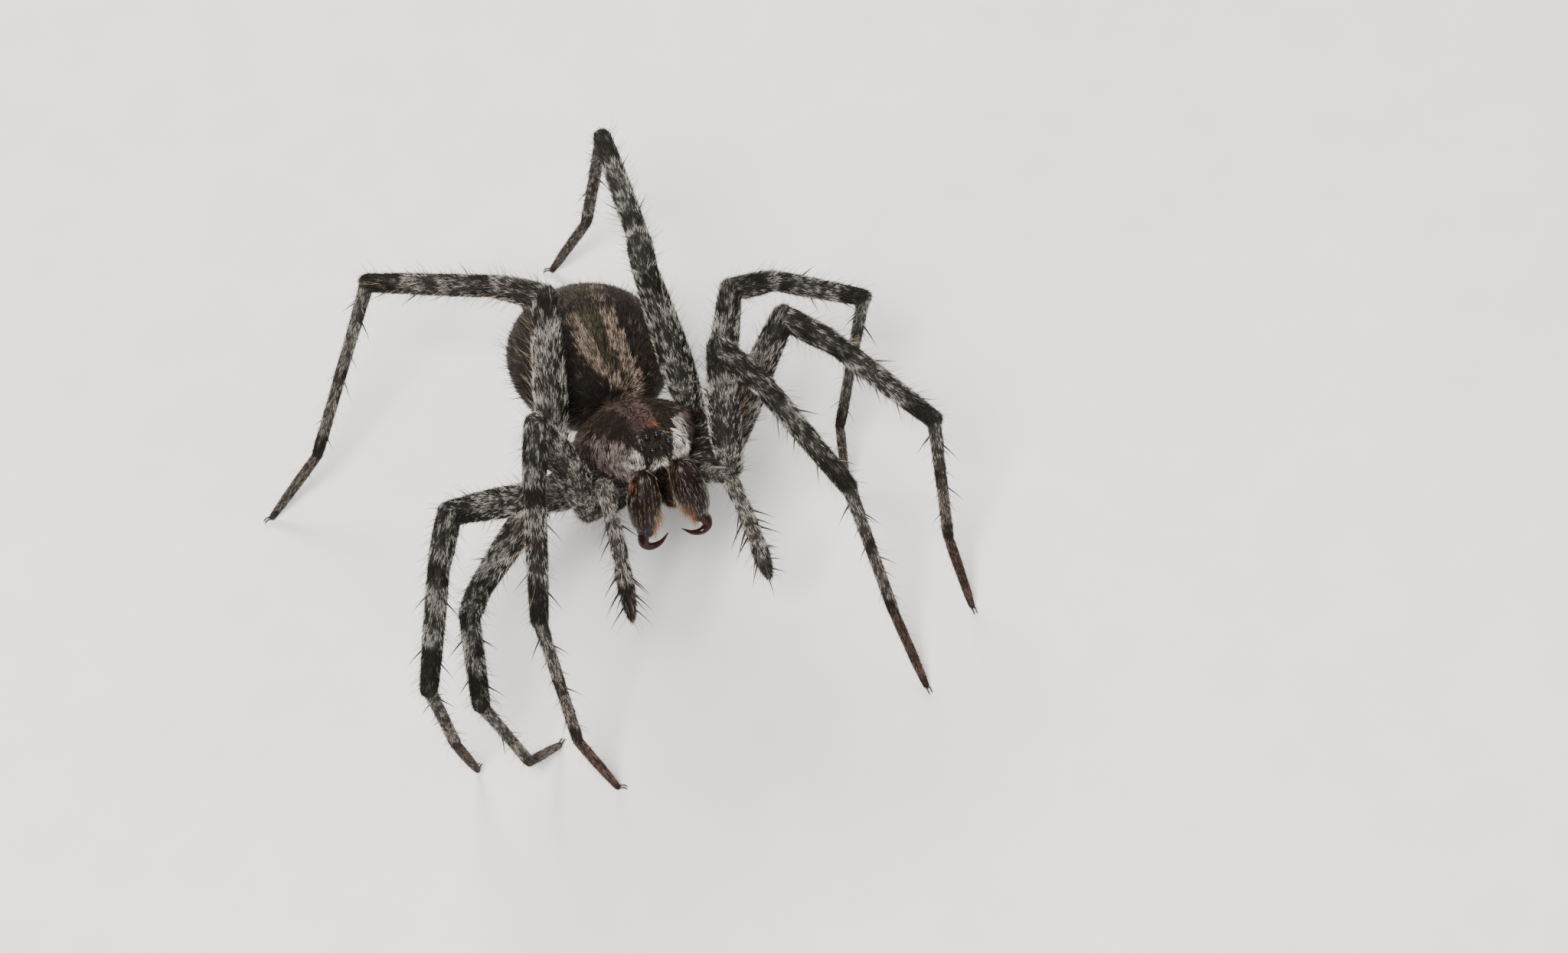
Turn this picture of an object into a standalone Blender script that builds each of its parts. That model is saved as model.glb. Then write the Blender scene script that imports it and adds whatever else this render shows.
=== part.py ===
"""Desert grass spider, a still life-size model that stands on its eight feet.

Metres, +Z up. The spider faces -Y, its left side is +X, and the floor is z = 0.
The body is shaped in a frame of its own, with its origin inside the middle of the carapace,
and then stood over the floor nose up. The legs run from their roots under the carapace to the
floor, each length along a heading and a rise.
"""
import math
import random

import bmesh
import bpy
from mathutils import Matrix, Vector

MM = 0.001
GAP = 0.3
EYE_GAP = 0.08
DOME_STEPS = ((0.94, 0.34), (0.57, 0.82))

BODY_PLACE = (0.7, -2.06, 7.15)
NOSE_UP = 21
SIDE_LEAN = 8
BODY_TURN = -6

CARAPACE_HALF_LENGTH = 3.05
CARAPACE_HALF_WIDTH = ((-3.05, 0.75), (-2.8, 1.18), (-2.2, 1.34), (-1.4, 1.5), (-0.6, 1.98),
                       (0.4, 2.36), (1.4, 2.2), (2.3, 1.5), (3.05, 0.55))
CARAPACE_TOP = ((-3.05, 0.8), (-2.75, 1.2), (-2.0, 1.5), (-1.0, 1.6), (0.3, 1.45), (1.6, 1.0), (3.05, 0.3))
CARAPACE_UNDER = ((-3.05, 0.35), (-2.6, 0.1), (-2.1, -0.6), (-1.6, -1.4), (1.2, -1.5), (2.4, -1.0),
                  (3.05, -0.3))

ABDOMEN_LENGTH = 8.4
ABDOMEN_FRONT = (0.0, 3.2, 0.15)
ABDOMEN_TURN = 4
ABDOMEN_LIFT = 3
ABDOMEN_HALF_WIDTH = ((0.0, 1.0), (0.1, 2.0), (0.3, 2.9), (0.5, 3.1), (0.7, 2.75), (0.88, 1.75), (1.0, 0.8))
ABDOMEN_TOP = ((0.0, 0.8), (0.1, 1.65), (0.3, 2.45), (0.5, 2.75), (0.7, 2.35), (0.88, 1.35), (1.0, 0.5))
ABDOMEN_UNDER = ((0.0, -0.8), (0.1, -1.6), (0.3, -2.3), (0.6, -2.5), (0.8, -2.1), (0.93, -1.4), (1.0, -0.7))

PEDICEL_ENDS = ((0.0, 2.45, -0.05), (0.0, 3.85, 0.1))
PEDICEL_RADIUS = 0.45

LEG_LENGTHS = {1: (5.5, 2.3, 5.0, 5.4, 3.2), 2: (5.6, 2.2, 4.7, 4.9, 3.0),
               3: (5.5, 2.0, 4.1, 5.1, 2.7), 4: (6.2, 2.3, 5.6, 7.4, 3.4)}
LEG_ROOTS = {1: (2.85, -2.05, -1.1), 2: (3.3, -0.75, -1.0), 3: (3.3, 0.95, -1.2), 4: (2.8, 2.2, -0.85)}
COXA_STARTS = {1: (1.0, -1.15, -0.8), 2: (1.1, -0.4, -0.8), 3: (1.1, 0.4, -0.8), 4: (1.0, 1.2, -0.7)}
LEG_GIRTH = {1: 1.0, 2: 1.0, 3: 0.95, 4: 1.04}

STANCE = {
    ("right", 1): ((112, 78), (34, -24), (34, -46), (8, -68), -56),
    ("right", 2): ((84, 32), (40, -12), (36, -21), (-138, -78), -130),
    ("right", 3): ((60, -2), (34, 24), (22, -2), (-104, -74), -124),
    ("right", 4): ((-150, 38), (148, -10), (138, -12), (68, -52), 90),
    ("left", 1): ((140, 76), (36, -44), (22, -46), (-4, -60), -4),
    ("left", 2): ((106, 50), (42, -30), (32, -34), (-28, -64), -8),
    ("left", 3): ((138, 40), (94, -24), (76, -36), (-52, -46), -28),
    ("left", 4): ((172, 58), (160, -14), (166, -2), (-168, -70), -122),
}

COXA_RADIUS = 0.58
FEMUR_RADII = ((0.0, 0.48), (0.12, 0.56), (0.35, 0.66), (0.65, 0.6), (0.88, 0.52), (1.0, 0.5))
PATELLA_RADII = ((0.0, 0.48), (0.5, 0.5), (1.0, 0.45))
TIBIA_RADII = ((0.2, 0.44), (0.6, 0.42), (1.0, 0.38))
METATARSUS_RADII = ((0.0, 0.33), (0.15, 0.3), (0.6, 0.28), (1.0, 0.27))
TARSUS_RADII = ((0.0, 0.26), (0.3, 0.28), (0.75, 0.25), (1.0, 0.2))
FEMUR_ARCH = 0.035

PALP_LENGTHS = (2.4, 1.0, 1.8, 2.3)
PALP_ROOT = (1.85, -2.35, -0.95)
PALP_STANCE = {"right": ((34, 66), (16, -26), (20, -50), (22, -52)),
               "left": ((4, 42), (2, -46), (10, -72), (40, -84))}
PALP_RADII = (0.32, 0.36, 0.34, 0.33)
PALP_TIP_RADII = ((0.0, 0.33), (0.45, 0.36), (0.8, 0.29), (1.0, 0.2))

MAXILLA_ENDS = ((0.7, -1.35, -1.2), (0.5, -1.8, -1.75))
MAXILLA_RADIUS = 0.42

CHELICERA_TOP = (0.78, -2.98, -0.14)
CHELICERA_LENGTH = 1.85
CHELICERA_SPLAY = 9
CHELICERA_FORWARD = 5
CHELICERA_RADII = ((0.0, 0.52), (0.3, 0.62), (0.6, 0.61), (0.85, 0.48), (1.0, 0.3))
FANG_POINTS = ((1.42, -3.26, -2.36), (1.3, -3.3, -2.6), (1.02, -3.31, -2.7),
               (0.68, -3.3, -2.62), (0.32, -3.24, -2.34))
FANG_RADII = (0.18, 0.2, 0.18, 0.13, 0.05)

EYE_PLACES = {"top": (0.19, 1.32, 0.13), "mid_inner": (0.17, 0.98, 0.12),
              "mid_outer": (0.52, 1.08, 0.13), "low": (0.4, 0.7, 0.13)}
EYE_STANDS_OUT = 0.3

SPINNERET_LONG = (((0.62, 0.965, -0.3), 0.3), ((0.85, 1.07, -0.5), 0.29),
                  ((1.05, 1.17, -0.6), 0.22), ((1.2, 1.26, -0.6), 0.1))
SPINNERET_SHORT = (((0.44, 0.95, -1.15), 0.28), ((0.52, 1.03, -1.35), 0.26), ((0.56, 1.08, -1.45), 0.14))

LEG_ROOM = (1.05, 0.85, 0.8, 0.66, 0.6)
PALP_ROOM = 0.7
JAW_ROOM = 1.0
FLOOR_ROOM = 0.5
ABDOMEN_ROOM = (3.6, 4.7, 3.3)
CARAPACE_ROOM = (2.9, 3.6, 2.0)

SPINE_ROOT = 0.2
SPINE_TIP = 0.03
SPINE_LEAN = (42, 52)
SPINE_SINK = 0.35
SPINE_TURNS = (0, 30, -30)
FEMUR_SPINES = ((0.35, 10, 1.5), (0.55, -35, 1.4), (0.72, 35, 1.4), (0.84, 0, 1.3))
TIBIA_SPINES = ((0.18, 80, 1.4), (0.24, -80, 1.4), (0.38, 150, 1.3), (0.56, -150, 1.3), (0.62, 95, 1.3),
                (0.74, -95, 1.3), (0.9, 160, 1.1))
METATARSUS_SPINES = ((0.12, 100, 1.2), (0.2, -110, 1.2), (0.45, 150, 1.1), (0.55, -95, 1.1),
                     (0.9, 110, 0.8), (0.92, -110, 0.8))
PALP_SPINES = ((0.62, 85, 1.1), (0.7, -85, 1.1), (0.85, 120, 1.0), (0.9, -120, 1.0))
PALP_TIP_SPINES = ((0.2, 90, 1.0), (0.3, -90, 1.0), (0.5, 60, 0.9), (0.6, -60, 0.9))

COLOURS = {
    "carapace_brown": ((0.06, 0.042, 0.032), 0.75),
    "abdomen_brown": ((0.11, 0.075, 0.055), 0.85),
    "leg_grey": ((0.28, 0.25, 0.22), 0.8),
    "palp_grey": ((0.42, 0.38, 0.33), 0.8),
    "jaw_brown": ((0.05, 0.018, 0.012), 0.3),
    "fang_red": ((0.06, 0.012, 0.006), 0.2),
    "eye_black": ((0.005, 0.005, 0.006), 0.08),
    "spinneret_tan": ((0.3, 0.22, 0.15), 0.7),
}

SIDES = {"right": -1, "left": 1}


def material(name):
    """The plain coat of one group of pieces."""
    found = bpy.data.materials.get(name)
    if found:
        return found
    colour, roughness = COLOURS[name]
    made = bpy.data.materials.new(name)
    made.use_nodes = True
    shader = made.node_tree.nodes["Principled BSDF"]
    shader.inputs["Base Color"].default_value = (*colour, 1.0)
    shader.inputs["Roughness"].default_value = roughness
    shader.inputs["Metallic"].default_value = 0.0
    return made


def body_matrix():
    """Where the body frame stands over the floor, in metres."""
    stand = Matrix.Translation(Vector(BODY_PLACE) * MM)
    for angle, axis in ((-NOSE_UP, "X"), (SIDE_LEAN, "Y"), (BODY_TURN, "Z")):
        stand = stand @ Matrix.Rotation(math.radians(angle), 4, axis)
    return stand


def profile(stations, place):
    """A smooth value at a place along stations of (place, value)."""
    places = [station[0] for station in stations]
    values = [station[1] for station in stations]
    if place <= places[0]:
        return values[0]
    if place >= places[-1]:
        return values[-1]
    last = len(places) - 1
    k = max(index for index in range(last) if places[index] <= place)
    span = places[k + 1] - places[k]
    share = (place - places[k]) / span

    def slope(index):
        low, high = max(index - 1, 0), min(index + 1, last)
        return (values[high] - values[low]) / (places[high] - places[low])

    a, b = slope(k) * span, slope(k + 1) * span
    square, cube = share * share, share ** 3
    return ((2 * cube - 3 * square + 1) * values[k] + (cube - 2 * square + share) * a
            + (3 * square - 2 * cube) * values[k + 1] + (cube - square) * b)


def direction(side, heading, rise):
    """A unit vector: heading 0 is straight ahead, 90 is out to that side, and rise is above level."""
    ahead, climb = math.radians(heading), math.radians(rise)
    level = math.cos(climb)
    return Vector((SIDES[side] * math.sin(ahead) * level, -math.cos(ahead) * level, math.sin(climb)))


def mirrored(point, side):
    """A point given for the left side, on either side of the body."""
    return Vector((SIDES[side] * point[0], point[1], point[2]))


def link(mesh, name, collection):
    """A named object for a mesh or a curve."""
    made = bpy.data.objects.new(name, mesh)
    collection.objects.link(made)
    return made


def tube(name, points, radii, sides, collection):
    """A closed round tube through points in millimetres, as a welded mesh."""
    curve = bpy.data.curves.new(name + "_line", "CURVE")
    curve.dimensions = "3D"
    curve.bevel_depth = MM
    curve.bevel_resolution = (sides - 4) // 2
    curve.use_fill_caps = True
    spline = curve.splines.new("POLY")
    spline.points.add(len(points) - 1)
    for knot, point, radius in zip(spline.points, points, radii):
        knot.co = (*(Vector(point) * MM), 1.0)
        knot.radius = radius
    line = link(curve, name + "_line", collection)
    mesh = bpy.data.meshes.new_from_object(line.evaluated_get(bpy.context.evaluated_depsgraph_get()))
    bpy.data.objects.remove(line)
    bpy.data.curves.remove(curve)
    weld(mesh)
    return link(mesh, name, collection)


def weld(mesh):
    """Joins the points of a mesh that lie on each other."""
    work = bmesh.new()
    work.from_mesh(mesh)
    bmesh.ops.remove_doubles(work, verts=work.verts, dist=0.001 * MM)
    bmesh.ops.recalc_face_normals(work, faces=work.faces)
    work.to_mesh(mesh)
    work.free()


def domed(points, radii, start=True, end=True):
    """The same stations with a rounded end at one or both ends."""
    points, radii = [Vector(point) for point in points], list(radii)
    first, last = radii[0], radii[-1]
    ahead = (points[0] - points[1]).normalized() * first
    behind = (points[-1] - points[-2]).normalized() * last
    head = [(points[0] + ahead * reach, first * share) for reach, share in DOME_STEPS]
    tail = [(points[-1] + behind * reach, last * share) for reach, share in reversed(DOME_STEPS)]
    body = list(zip(points, radii))
    rounded = (head if start else []) + body + (tail if end else [])
    return [point for point, radius in rounded], [radius for point, radius in rounded]


def cut_flat(target, point, outward):
    """Takes off what lies past a plane and closes the cut with one flat face."""
    work = bmesh.new()
    work.from_mesh(target.data)
    every = list(work.verts) + list(work.edges) + list(work.faces)
    bmesh.ops.bisect_plane(work, geom=every, dist=0.0005 * MM, plane_co=Vector(point) * MM,
                           plane_no=Vector(outward), clear_outer=True)
    rim = [edge for edge in work.edges if edge.is_boundary]
    bmesh.ops.contextual_create(work, geom=rim)
    bmesh.ops.recalc_face_normals(work, faces=work.faces)
    work.to_mesh(target.data)
    work.free()


def boolean(target, cutters, operation):
    """Joins or cuts a mesh with all the objects of a collection, then removes them."""
    change = target.modifiers.new(operation.lower(), "BOOLEAN")
    change.operation = operation
    change.operand_type = "COLLECTION"
    change.collection = cutters
    change.solver = "MANIFOLD"
    mesh = bpy.data.meshes.new_from_object(target.evaluated_get(bpy.context.evaluated_depsgraph_get()))
    target.modifiers.clear()
    target.data = mesh
    for cutter in list(cutters.objects):
        bpy.data.objects.remove(cutter)
    keep_largest(target)


def keep_largest(target):
    """Keeps the largest closed surface of a mesh."""
    work = bmesh.new()
    work.from_mesh(target.data)
    bmesh.ops.remove_doubles(work, verts=work.verts, dist=0.002 * MM)
    bmesh.ops.dissolve_degenerate(work, dist=0.002 * MM, edges=work.edges)
    bmesh.ops.triangulate(work, faces=work.faces)
    groups, left = [], set(work.verts)
    while left:
        group, front = set(), [left.pop()]
        while front:
            vert = front.pop()
            group.add(vert)
            for edge in vert.link_edges:
                other = edge.other_vert(vert)
                if other in left:
                    left.discard(other)
                    front.append(other)
        groups.append(group)
    groups.sort(key=len)
    for group in groups[:-1]:
        bmesh.ops.delete(work, geom=list(group), context="VERTS")
    work.to_mesh(target.data)
    work.free()


def finish(target, coat):
    """Gives a piece its coat and smooth faces with crisp edges."""
    target.data.materials.clear()
    target.data.materials.append(material(coat))
    target.data.shade_smooth()
    target.data.set_sharp_from_angle(angle=math.radians(50))
    return target


def hidden(collection_name):
    """A collection for cutters, left out of renders."""
    made = bpy.data.collections.new(collection_name)
    bpy.context.scene.collection.children.link(made)
    made.hide_render = True
    return made


def rounded_form(name, segments, rings, place, collection):
    """A sphere with its poles fore and aft, each point moved by a rule."""
    bpy.ops.mesh.primitive_uv_sphere_add(segments=segments, ring_count=rings, radius=1.0)
    made = bpy.context.active_object
    made.name = name
    for holder in list(made.users_collection):
        holder.objects.unlink(made)
    collection.objects.link(made)
    made.data.transform(Matrix.Rotation(math.radians(90), 4, "X"))
    for vert in made.data.vertices:
        vert.co = place(vert.co) * MM
    return made


def carapace_place(unit):
    """Moves a point of the unit sphere onto the carapace and the sternum."""
    along = unit.y * CARAPACE_HALF_LENGTH
    round_share = math.sqrt(max(1 - unit.y ** 2, 0.0))
    across, up = (unit.x / round_share, unit.z / round_share) if round_share > 1e-4 else (0.0, 0.0)
    top, under = profile(CARAPACE_TOP, along), profile(CARAPACE_UNDER, along)
    middle, half = (top + under) / 2, (top - under) / 2
    fill = min(1.0, 1.9 * math.sqrt(round_share))
    width = profile(CARAPACE_HALF_WIDTH, along) * fill
    return Vector((width * across, along, middle + half * fill * up))


def abdomen_axes():
    """The directions across, back and up of the abdomen, in the body frame."""
    turn, lift = math.radians(ABDOMEN_TURN), math.radians(ABDOMEN_LIFT)
    back = Vector((math.sin(turn) * math.cos(lift), math.cos(turn) * math.cos(lift), math.sin(lift)))
    across = Vector((math.cos(turn), -math.sin(turn), 0.0))
    return across, back, across.cross(back)


def abdomen_point(across_mm, share, up_mm):
    """A point by its share of the abdomen's length and its place beside and above its axis."""
    across, back, up = abdomen_axes()
    return Vector(ABDOMEN_FRONT) + back * (share * ABDOMEN_LENGTH) + across * across_mm + up * up_mm


def abdomen_place(unit):
    """Moves a point of the unit sphere onto the abdomen."""
    share = (unit.y + 1) / 2
    round_share = math.sqrt(max(1 - unit.y ** 2, 0.0))
    across, up = (unit.x / round_share, unit.z / round_share) if round_share > 1e-4 else (0.0, 0.0)
    top, under = profile(ABDOMEN_TOP, share), profile(ABDOMEN_UNDER, share)
    middle, half = (top + under) / 2, (top - under) / 2
    fill = min(1.0, 1.7 * math.sqrt(round_share))
    width = profile(ABDOMEN_HALF_WIDTH, share) * fill
    return abdomen_point(width * across, share, middle + half * fill * up)


def leg_points(side, number):
    """The root, knee, patella end, tibia end, metatarsus end and tip of a leg, in millimetres."""
    place = body_matrix() @ (mirrored(LEG_ROOTS[number], side) * MM) / MM
    points = [place]
    for length, (heading, rise) in zip(LEG_LENGTHS[number], STANCE[side, number][:4]):
        points.append(points[-1] + direction(side, heading, rise) * length)
    reach = LEG_LENGTHS[number][4]
    drop = math.degrees(math.asin(points[-1].z / reach))
    points.append(points[-1] + direction(side, STANCE[side, number][4], -drop) * reach)
    return points


def mitre(before, joint, after):
    """The normal of the plane that halves the bend at a joint."""
    return ((joint - before).normalized() + (after - joint).normalized()).normalized()


def stations(a, b, rule, girth, arch=0.0):
    """Points and radii between two joints, arched away from the floor where asked."""
    run = b - a
    flat = run.cross(Vector((0, 0, 1)))
    rise = flat.cross(run).normalized() if flat.length > 0.05 * run.length else Vector((0, 0, 0))
    height = rise * (arch * run.length)
    points = [a + run * share + height * math.sin(math.pi * share) for share, radius in rule]
    return points, [radius * girth for share, radius in rule]


def limb_lines():
    """Each limb length as (owner, index, start, end, room), room being what spines keep from its line."""
    lines = []
    for key in STANCE:
        chain = leg_points(*key)
        lines += [(key, k, chain[k], chain[k + 1], LEG_ROOM[k]) for k in range(5)]
    for side in SIDES:
        chain = palp_points(side)
        lines += [(("palp", side), k, chain[k], chain[k + 1], PALP_ROOM) for k in range(4)]
        jaw = [body_matrix() @ (point * MM) / MM for point in chelicera_stations(side)[0]]
        lines.append((("jaw", side), 0, jaw[0], jaw[-1], JAW_ROOM))
    return lines


def is_clear(start, way, reach, own, lines):
    """True where the outer half of a spine keeps off the floor, the body and every other limb length."""
    for share in (0.6, 1.0):
        point = start + way * (reach * share)
        if point.z < FLOOR_ROOM or not clear_of_body(point):
            return False
        for owner, index, a, b, room in lines:
            if (owner, index) != own and distance(point, a, b) < room:
                return False
    return True


def spine_set(rule, a, b, own, lines):
    """Where the spines of one length start and point: place, direction and length."""
    draw = random.Random("%s %s %d" % (*own[0], own[1]))
    run = (b - a).normalized()
    sink = SPINE_SINK * SPINE_ROOT
    side = run.cross(Vector((0, 0, 1)))
    side = side.normalized() if side.length > 0.1 else Vector((1, 0, 0))
    up = side.cross(run).normalized()
    found = []
    for share, turn, length in rule:
        jitter, lean = draw.uniform(-12, 12), math.radians(draw.uniform(*SPINE_LEAN))
        place, reach = share + draw.uniform(-0.02, 0.02), length * draw.uniform(0.92, 1.08)
        for shift in SPINE_TURNS:
            angle = math.radians(turn + jitter + shift)
            out = up * math.cos(angle) + side * math.sin(angle)
            way = out * math.sin(lean) + run * math.cos(lean)
            start = a + (b - a) * place + out * sink
            if is_clear(start, way, reach, own, lines):
                found.append((start, way, reach))
                break
    return found


def add_spines(target, spines, collection):
    """Fuses tapered spines into a mesh."""
    if not spines:
        return
    for index, (start, way, reach) in enumerate(spines):
        mesh = bpy.data.meshes.new("spine")
        work = bmesh.new()
        middle = Matrix.Translation((0, 0, reach * MM / 2))
        bmesh.ops.create_cone(work, cap_ends=True, segments=4, radius1=SPINE_ROOT * MM,
                              radius2=SPINE_TIP * MM, depth=reach * MM, matrix=middle)
        work.to_mesh(mesh)
        work.free()
        mesh.transform(Matrix.Translation(start * MM) @ way.to_track_quat("Z", "Y").to_matrix().to_4x4())
        link(mesh, "spine_%d" % index, collection)
    boolean(target, collection, "UNION")


def make_legs(collection, cutters):
    """Four nodes for each leg: femur with trochanter, patella with tibia, metatarsus and tarsus."""
    lines = limb_lines()
    for leg in STANCE:
        side, number = leg
        points = leg_points(side, number)
        name = "leg_%d_%s_" % (number, side)
        girth = LEG_GIRTH[number]
        root_before = body_matrix() @ (mirrored(COXA_STARTS[number], side) * MM) / MM
        joints = [root_before] + points
        planes = [mitre(joints[k], joints[k + 1], joints[k + 2]) for k in range(5)]

        spots, radii = stations(points[0], points[1], FEMUR_RADII, girth, FEMUR_ARCH)
        femur = tube(name + "femur", *domed(spots, radii), 10, collection)
        cut_flat(femur, points[0] + planes[0] * GAP / 2, -planes[0])
        cut_flat(femur, points[1] - planes[1] * GAP / 2, planes[1])
        add_spines(femur, spine_set(FEMUR_SPINES, points[0], points[1], (leg, 0), lines), cutters)

        upper, upper_radii = stations(points[1], points[2], PATELLA_RADII, girth)
        lower, lower_radii = stations(points[2], points[3], TIBIA_RADII, girth)
        tibia = tube(name + "tibia", *domed(upper + lower, upper_radii + lower_radii), 10, collection)
        cut_flat(tibia, points[1] + planes[1] * GAP / 2, -planes[1])
        cut_flat(tibia, points[3] - planes[3] * GAP / 2, planes[3])
        add_spines(tibia, spine_set(TIBIA_SPINES, points[2], points[3], (leg, 2), lines), cutters)

        spots, radii = stations(points[3], points[4], METATARSUS_RADII, girth)
        metatarsus = tube(name + "metatarsus", *domed(spots, radii), 8, collection)
        cut_flat(metatarsus, points[3] + planes[3] * GAP / 2, -planes[3])
        cut_flat(metatarsus, points[4] - planes[4] * GAP / 2, planes[4])
        add_spines(metatarsus, spine_set(METATARSUS_SPINES, points[3], points[4], (leg, 3), lines), cutters)

        spots, radii = stations(points[4], points[5], TARSUS_RADII, girth)
        spots.append(points[5] + (points[5] - points[4]).normalized() * 0.6)
        radii.append(radii[-1])
        tarsus = tube(name + "tarsus", *domed(spots, radii, end=False), 8, collection)
        cut_flat(tarsus, points[4] + planes[4] * GAP / 2, -planes[4])
        cut_flat(tarsus, Vector((0, 0, 0)), Vector((0, 0, -1)))
        for piece in (femur, tibia, metatarsus, tarsus):
            finish(piece, "leg_grey")


def palp_points(side):
    """The root, the joints and the tip of a palp, in millimetres."""
    points = [body_matrix() @ (mirrored(PALP_ROOT, side) * MM) / MM]
    for length, (heading, rise) in zip(PALP_LENGTHS, PALP_STANCE[side]):
        points.append(points[-1] + direction(side, heading, rise) * length)
    return points


def distance(point, a, b):
    """From a point to the line between two joints."""
    run = b - a
    share = min(max((point - a).dot(run) / run.length_squared, 0.0), 1.0)
    return (a + run * share - point).length


def clear_of_body(point):
    """True outside the two egg-shaped spaces that the abdomen and the carapace take."""
    local = body_matrix().inverted() @ (point * MM) / MM
    from_middle = local - abdomen_point(0.0, 0.5, 0.0)
    along = [from_middle.dot(axis) for axis in abdomen_axes()]
    abdomen = sum((value / room) ** 2 for value, room in zip(along, ABDOMEN_ROOM))
    carapace = sum((value / room) ** 2 for value, room in zip(local, CARAPACE_ROOM))
    return abdomen > 1 and carapace > 1


def make_palps(collection, cutters):
    """Two nodes for each palp: the upper lengths and the tip."""
    lines = limb_lines()
    for side in SIDES:
        palp = ("palp", side)
        points = palp_points(side)
        name = "palp_%s_" % side
        upper = tube(name + "upper", *domed(points[:4], PALP_RADII), 8, collection)
        plane = mitre(points[2], points[3], points[4])
        cut_flat(upper, points[3] - plane * GAP / 2, plane)

        add_spines(upper, spine_set(PALP_SPINES, points[2], points[3], (palp, 2), lines), cutters)
        spots, radii = stations(points[3], points[4], PALP_TIP_RADII, 1.0)
        tip = tube(name + "tip", *domed(spots, radii), 8, collection)
        cut_flat(tip, points[3] + plane * GAP / 2, -plane)
        add_spines(tip, spine_set(PALP_TIP_SPINES, points[3], points[4], (palp, 3), lines), cutters)
        finish(upper, "palp_grey")
        finish(tip, "palp_grey")


def chelicera_stations(side, grow=0.0):
    """Points and radii of one jaw, in the body frame."""
    splay, forward = math.radians(CHELICERA_SPLAY), math.radians(CHELICERA_FORWARD)
    way = Vector((SIDES[side] * math.sin(splay), -math.sin(forward), -math.cos(splay)))
    top = mirrored(CHELICERA_TOP, side)
    points = [top + way * (share * CHELICERA_LENGTH) for share, radius in CHELICERA_RADII]
    return points, [radius + grow for share, radius in CHELICERA_RADII]


def make_body(collection, cutters):
    """The carapace with the leg bases, the abdomen, the pedicel, the jaws, fangs, eyes and spinnerets."""
    to_body = body_matrix().inverted()
    head = rounded_form("cephalothorax", 28, 18, carapace_place, collection)
    eyes = make_eyes(head, collection)
    for side in SIDES:
        for number, start in COXA_STARTS.items():
            root, begin = mirrored(LEG_ROOTS[number], side), mirrored(start, side)
            knee = to_body @ (leg_points(side, number)[1] * MM) / MM
            radius = COXA_RADIUS * LEG_GIRTH[number]
            coxa = tube("coxa", *domed([begin, root], [radius * 0.9, radius], start=False), 10, cutters)
            plane = mitre(begin, root, knee)
            cut_flat(coxa, root - plane * GAP / 2, plane)
        ends = [mirrored(end, side) for end in MAXILLA_ENDS]
        tube("maxilla", *domed(ends, [MAXILLA_RADIUS] * 2), 8, cutters)
    boolean(head, cutters, "UNION")

    jaws = []
    for side in SIDES:
        jaws.append(tube("chelicera_" + side, *domed(*chelicera_stations(side)), 10, collection))
        tube("jaw_room", *domed(*chelicera_stations(side, GAP)), 12, cutters)
        root = to_body @ (palp_points(side)[0] * MM) / MM
        knee = to_body @ (palp_points(side)[1] * MM) / MM
        tube("palp_room", *domed([root, knee], [PALP_RADII[0] + GAP, PALP_RADII[1] + GAP]), 12, cutters)
    start, end = Vector(PEDICEL_ENDS[0]), Vector(PEDICEL_ENDS[1])
    past = (end - start).normalized() * GAP
    pedicel = tube("pedicel", (start, end), (PEDICEL_RADIUS, PEDICEL_RADIUS), 12, collection)
    tube("pedicel_room", (start - past, end), (PEDICEL_RADIUS + GAP, PEDICEL_RADIUS + GAP), 12, cutters)
    for eye in eyes:
        ball("eye_room", eye["centre"], eye["radius"] + EYE_GAP, 12, cutters)
    boolean(head, cutters, "DIFFERENCE")

    abdomen = rounded_form("abdomen", 28, 18, abdomen_place, collection)
    tube("pedicel_room", (start, end + past), (PEDICEL_RADIUS + GAP, PEDICEL_RADIUS + GAP), 12, cutters)
    nozzles = []
    for side in SIDES:
        for label, rule in (("long", SPINNERET_LONG), ("short", SPINNERET_SHORT)):
            points = [abdomen_point(SIDES[side] * place[0], place[1], place[2]) for place, radius in rule]
            radii = [radius for place, radius in rule]
            nozzles.append(tube("spinneret_%s_%s" % (label, side), *domed(points, radii), 8, collection))
            tube("nozzle_room", *domed(points[:3], [radius + GAP for radius in radii[:3]]), 10, cutters)
    boolean(abdomen, cutters, "DIFFERENCE")

    fangs = []
    for side in SIDES:
        points = [mirrored(point, side) for point in FANG_POINTS]
        fangs.append(tube("fang_" + side, points, FANG_RADII, 8, collection))

    coats = ((head, "carapace_brown"), (abdomen, "abdomen_brown"), (pedicel, "carapace_brown"))
    stance = bpy.data.objects.new("body_stance", None)
    collection.objects.link(stance)
    stance.matrix_world = body_matrix()
    coats += tuple((jaw, "jaw_brown") for jaw in jaws) + tuple((fang, "fang_red") for fang in fangs)
    coats += tuple((nozzle, "spinneret_tan") for nozzle in nozzles)
    coats += tuple((eye["object"], "eye_black") for eye in eyes)
    for piece, coat in coats:
        finish(piece, coat)
        piece.parent = stance


def ball(name, centre, radius, segments, collection):
    """A small sphere."""
    mesh = bpy.data.meshes.new(name)
    work = bmesh.new()
    bmesh.ops.create_uvsphere(work, u_segments=segments, v_segments=segments // 2, radius=radius * MM,
                              matrix=Matrix.Translation(centre * MM))
    work.to_mesh(mesh)
    work.free()
    return link(mesh, name, collection)


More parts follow.
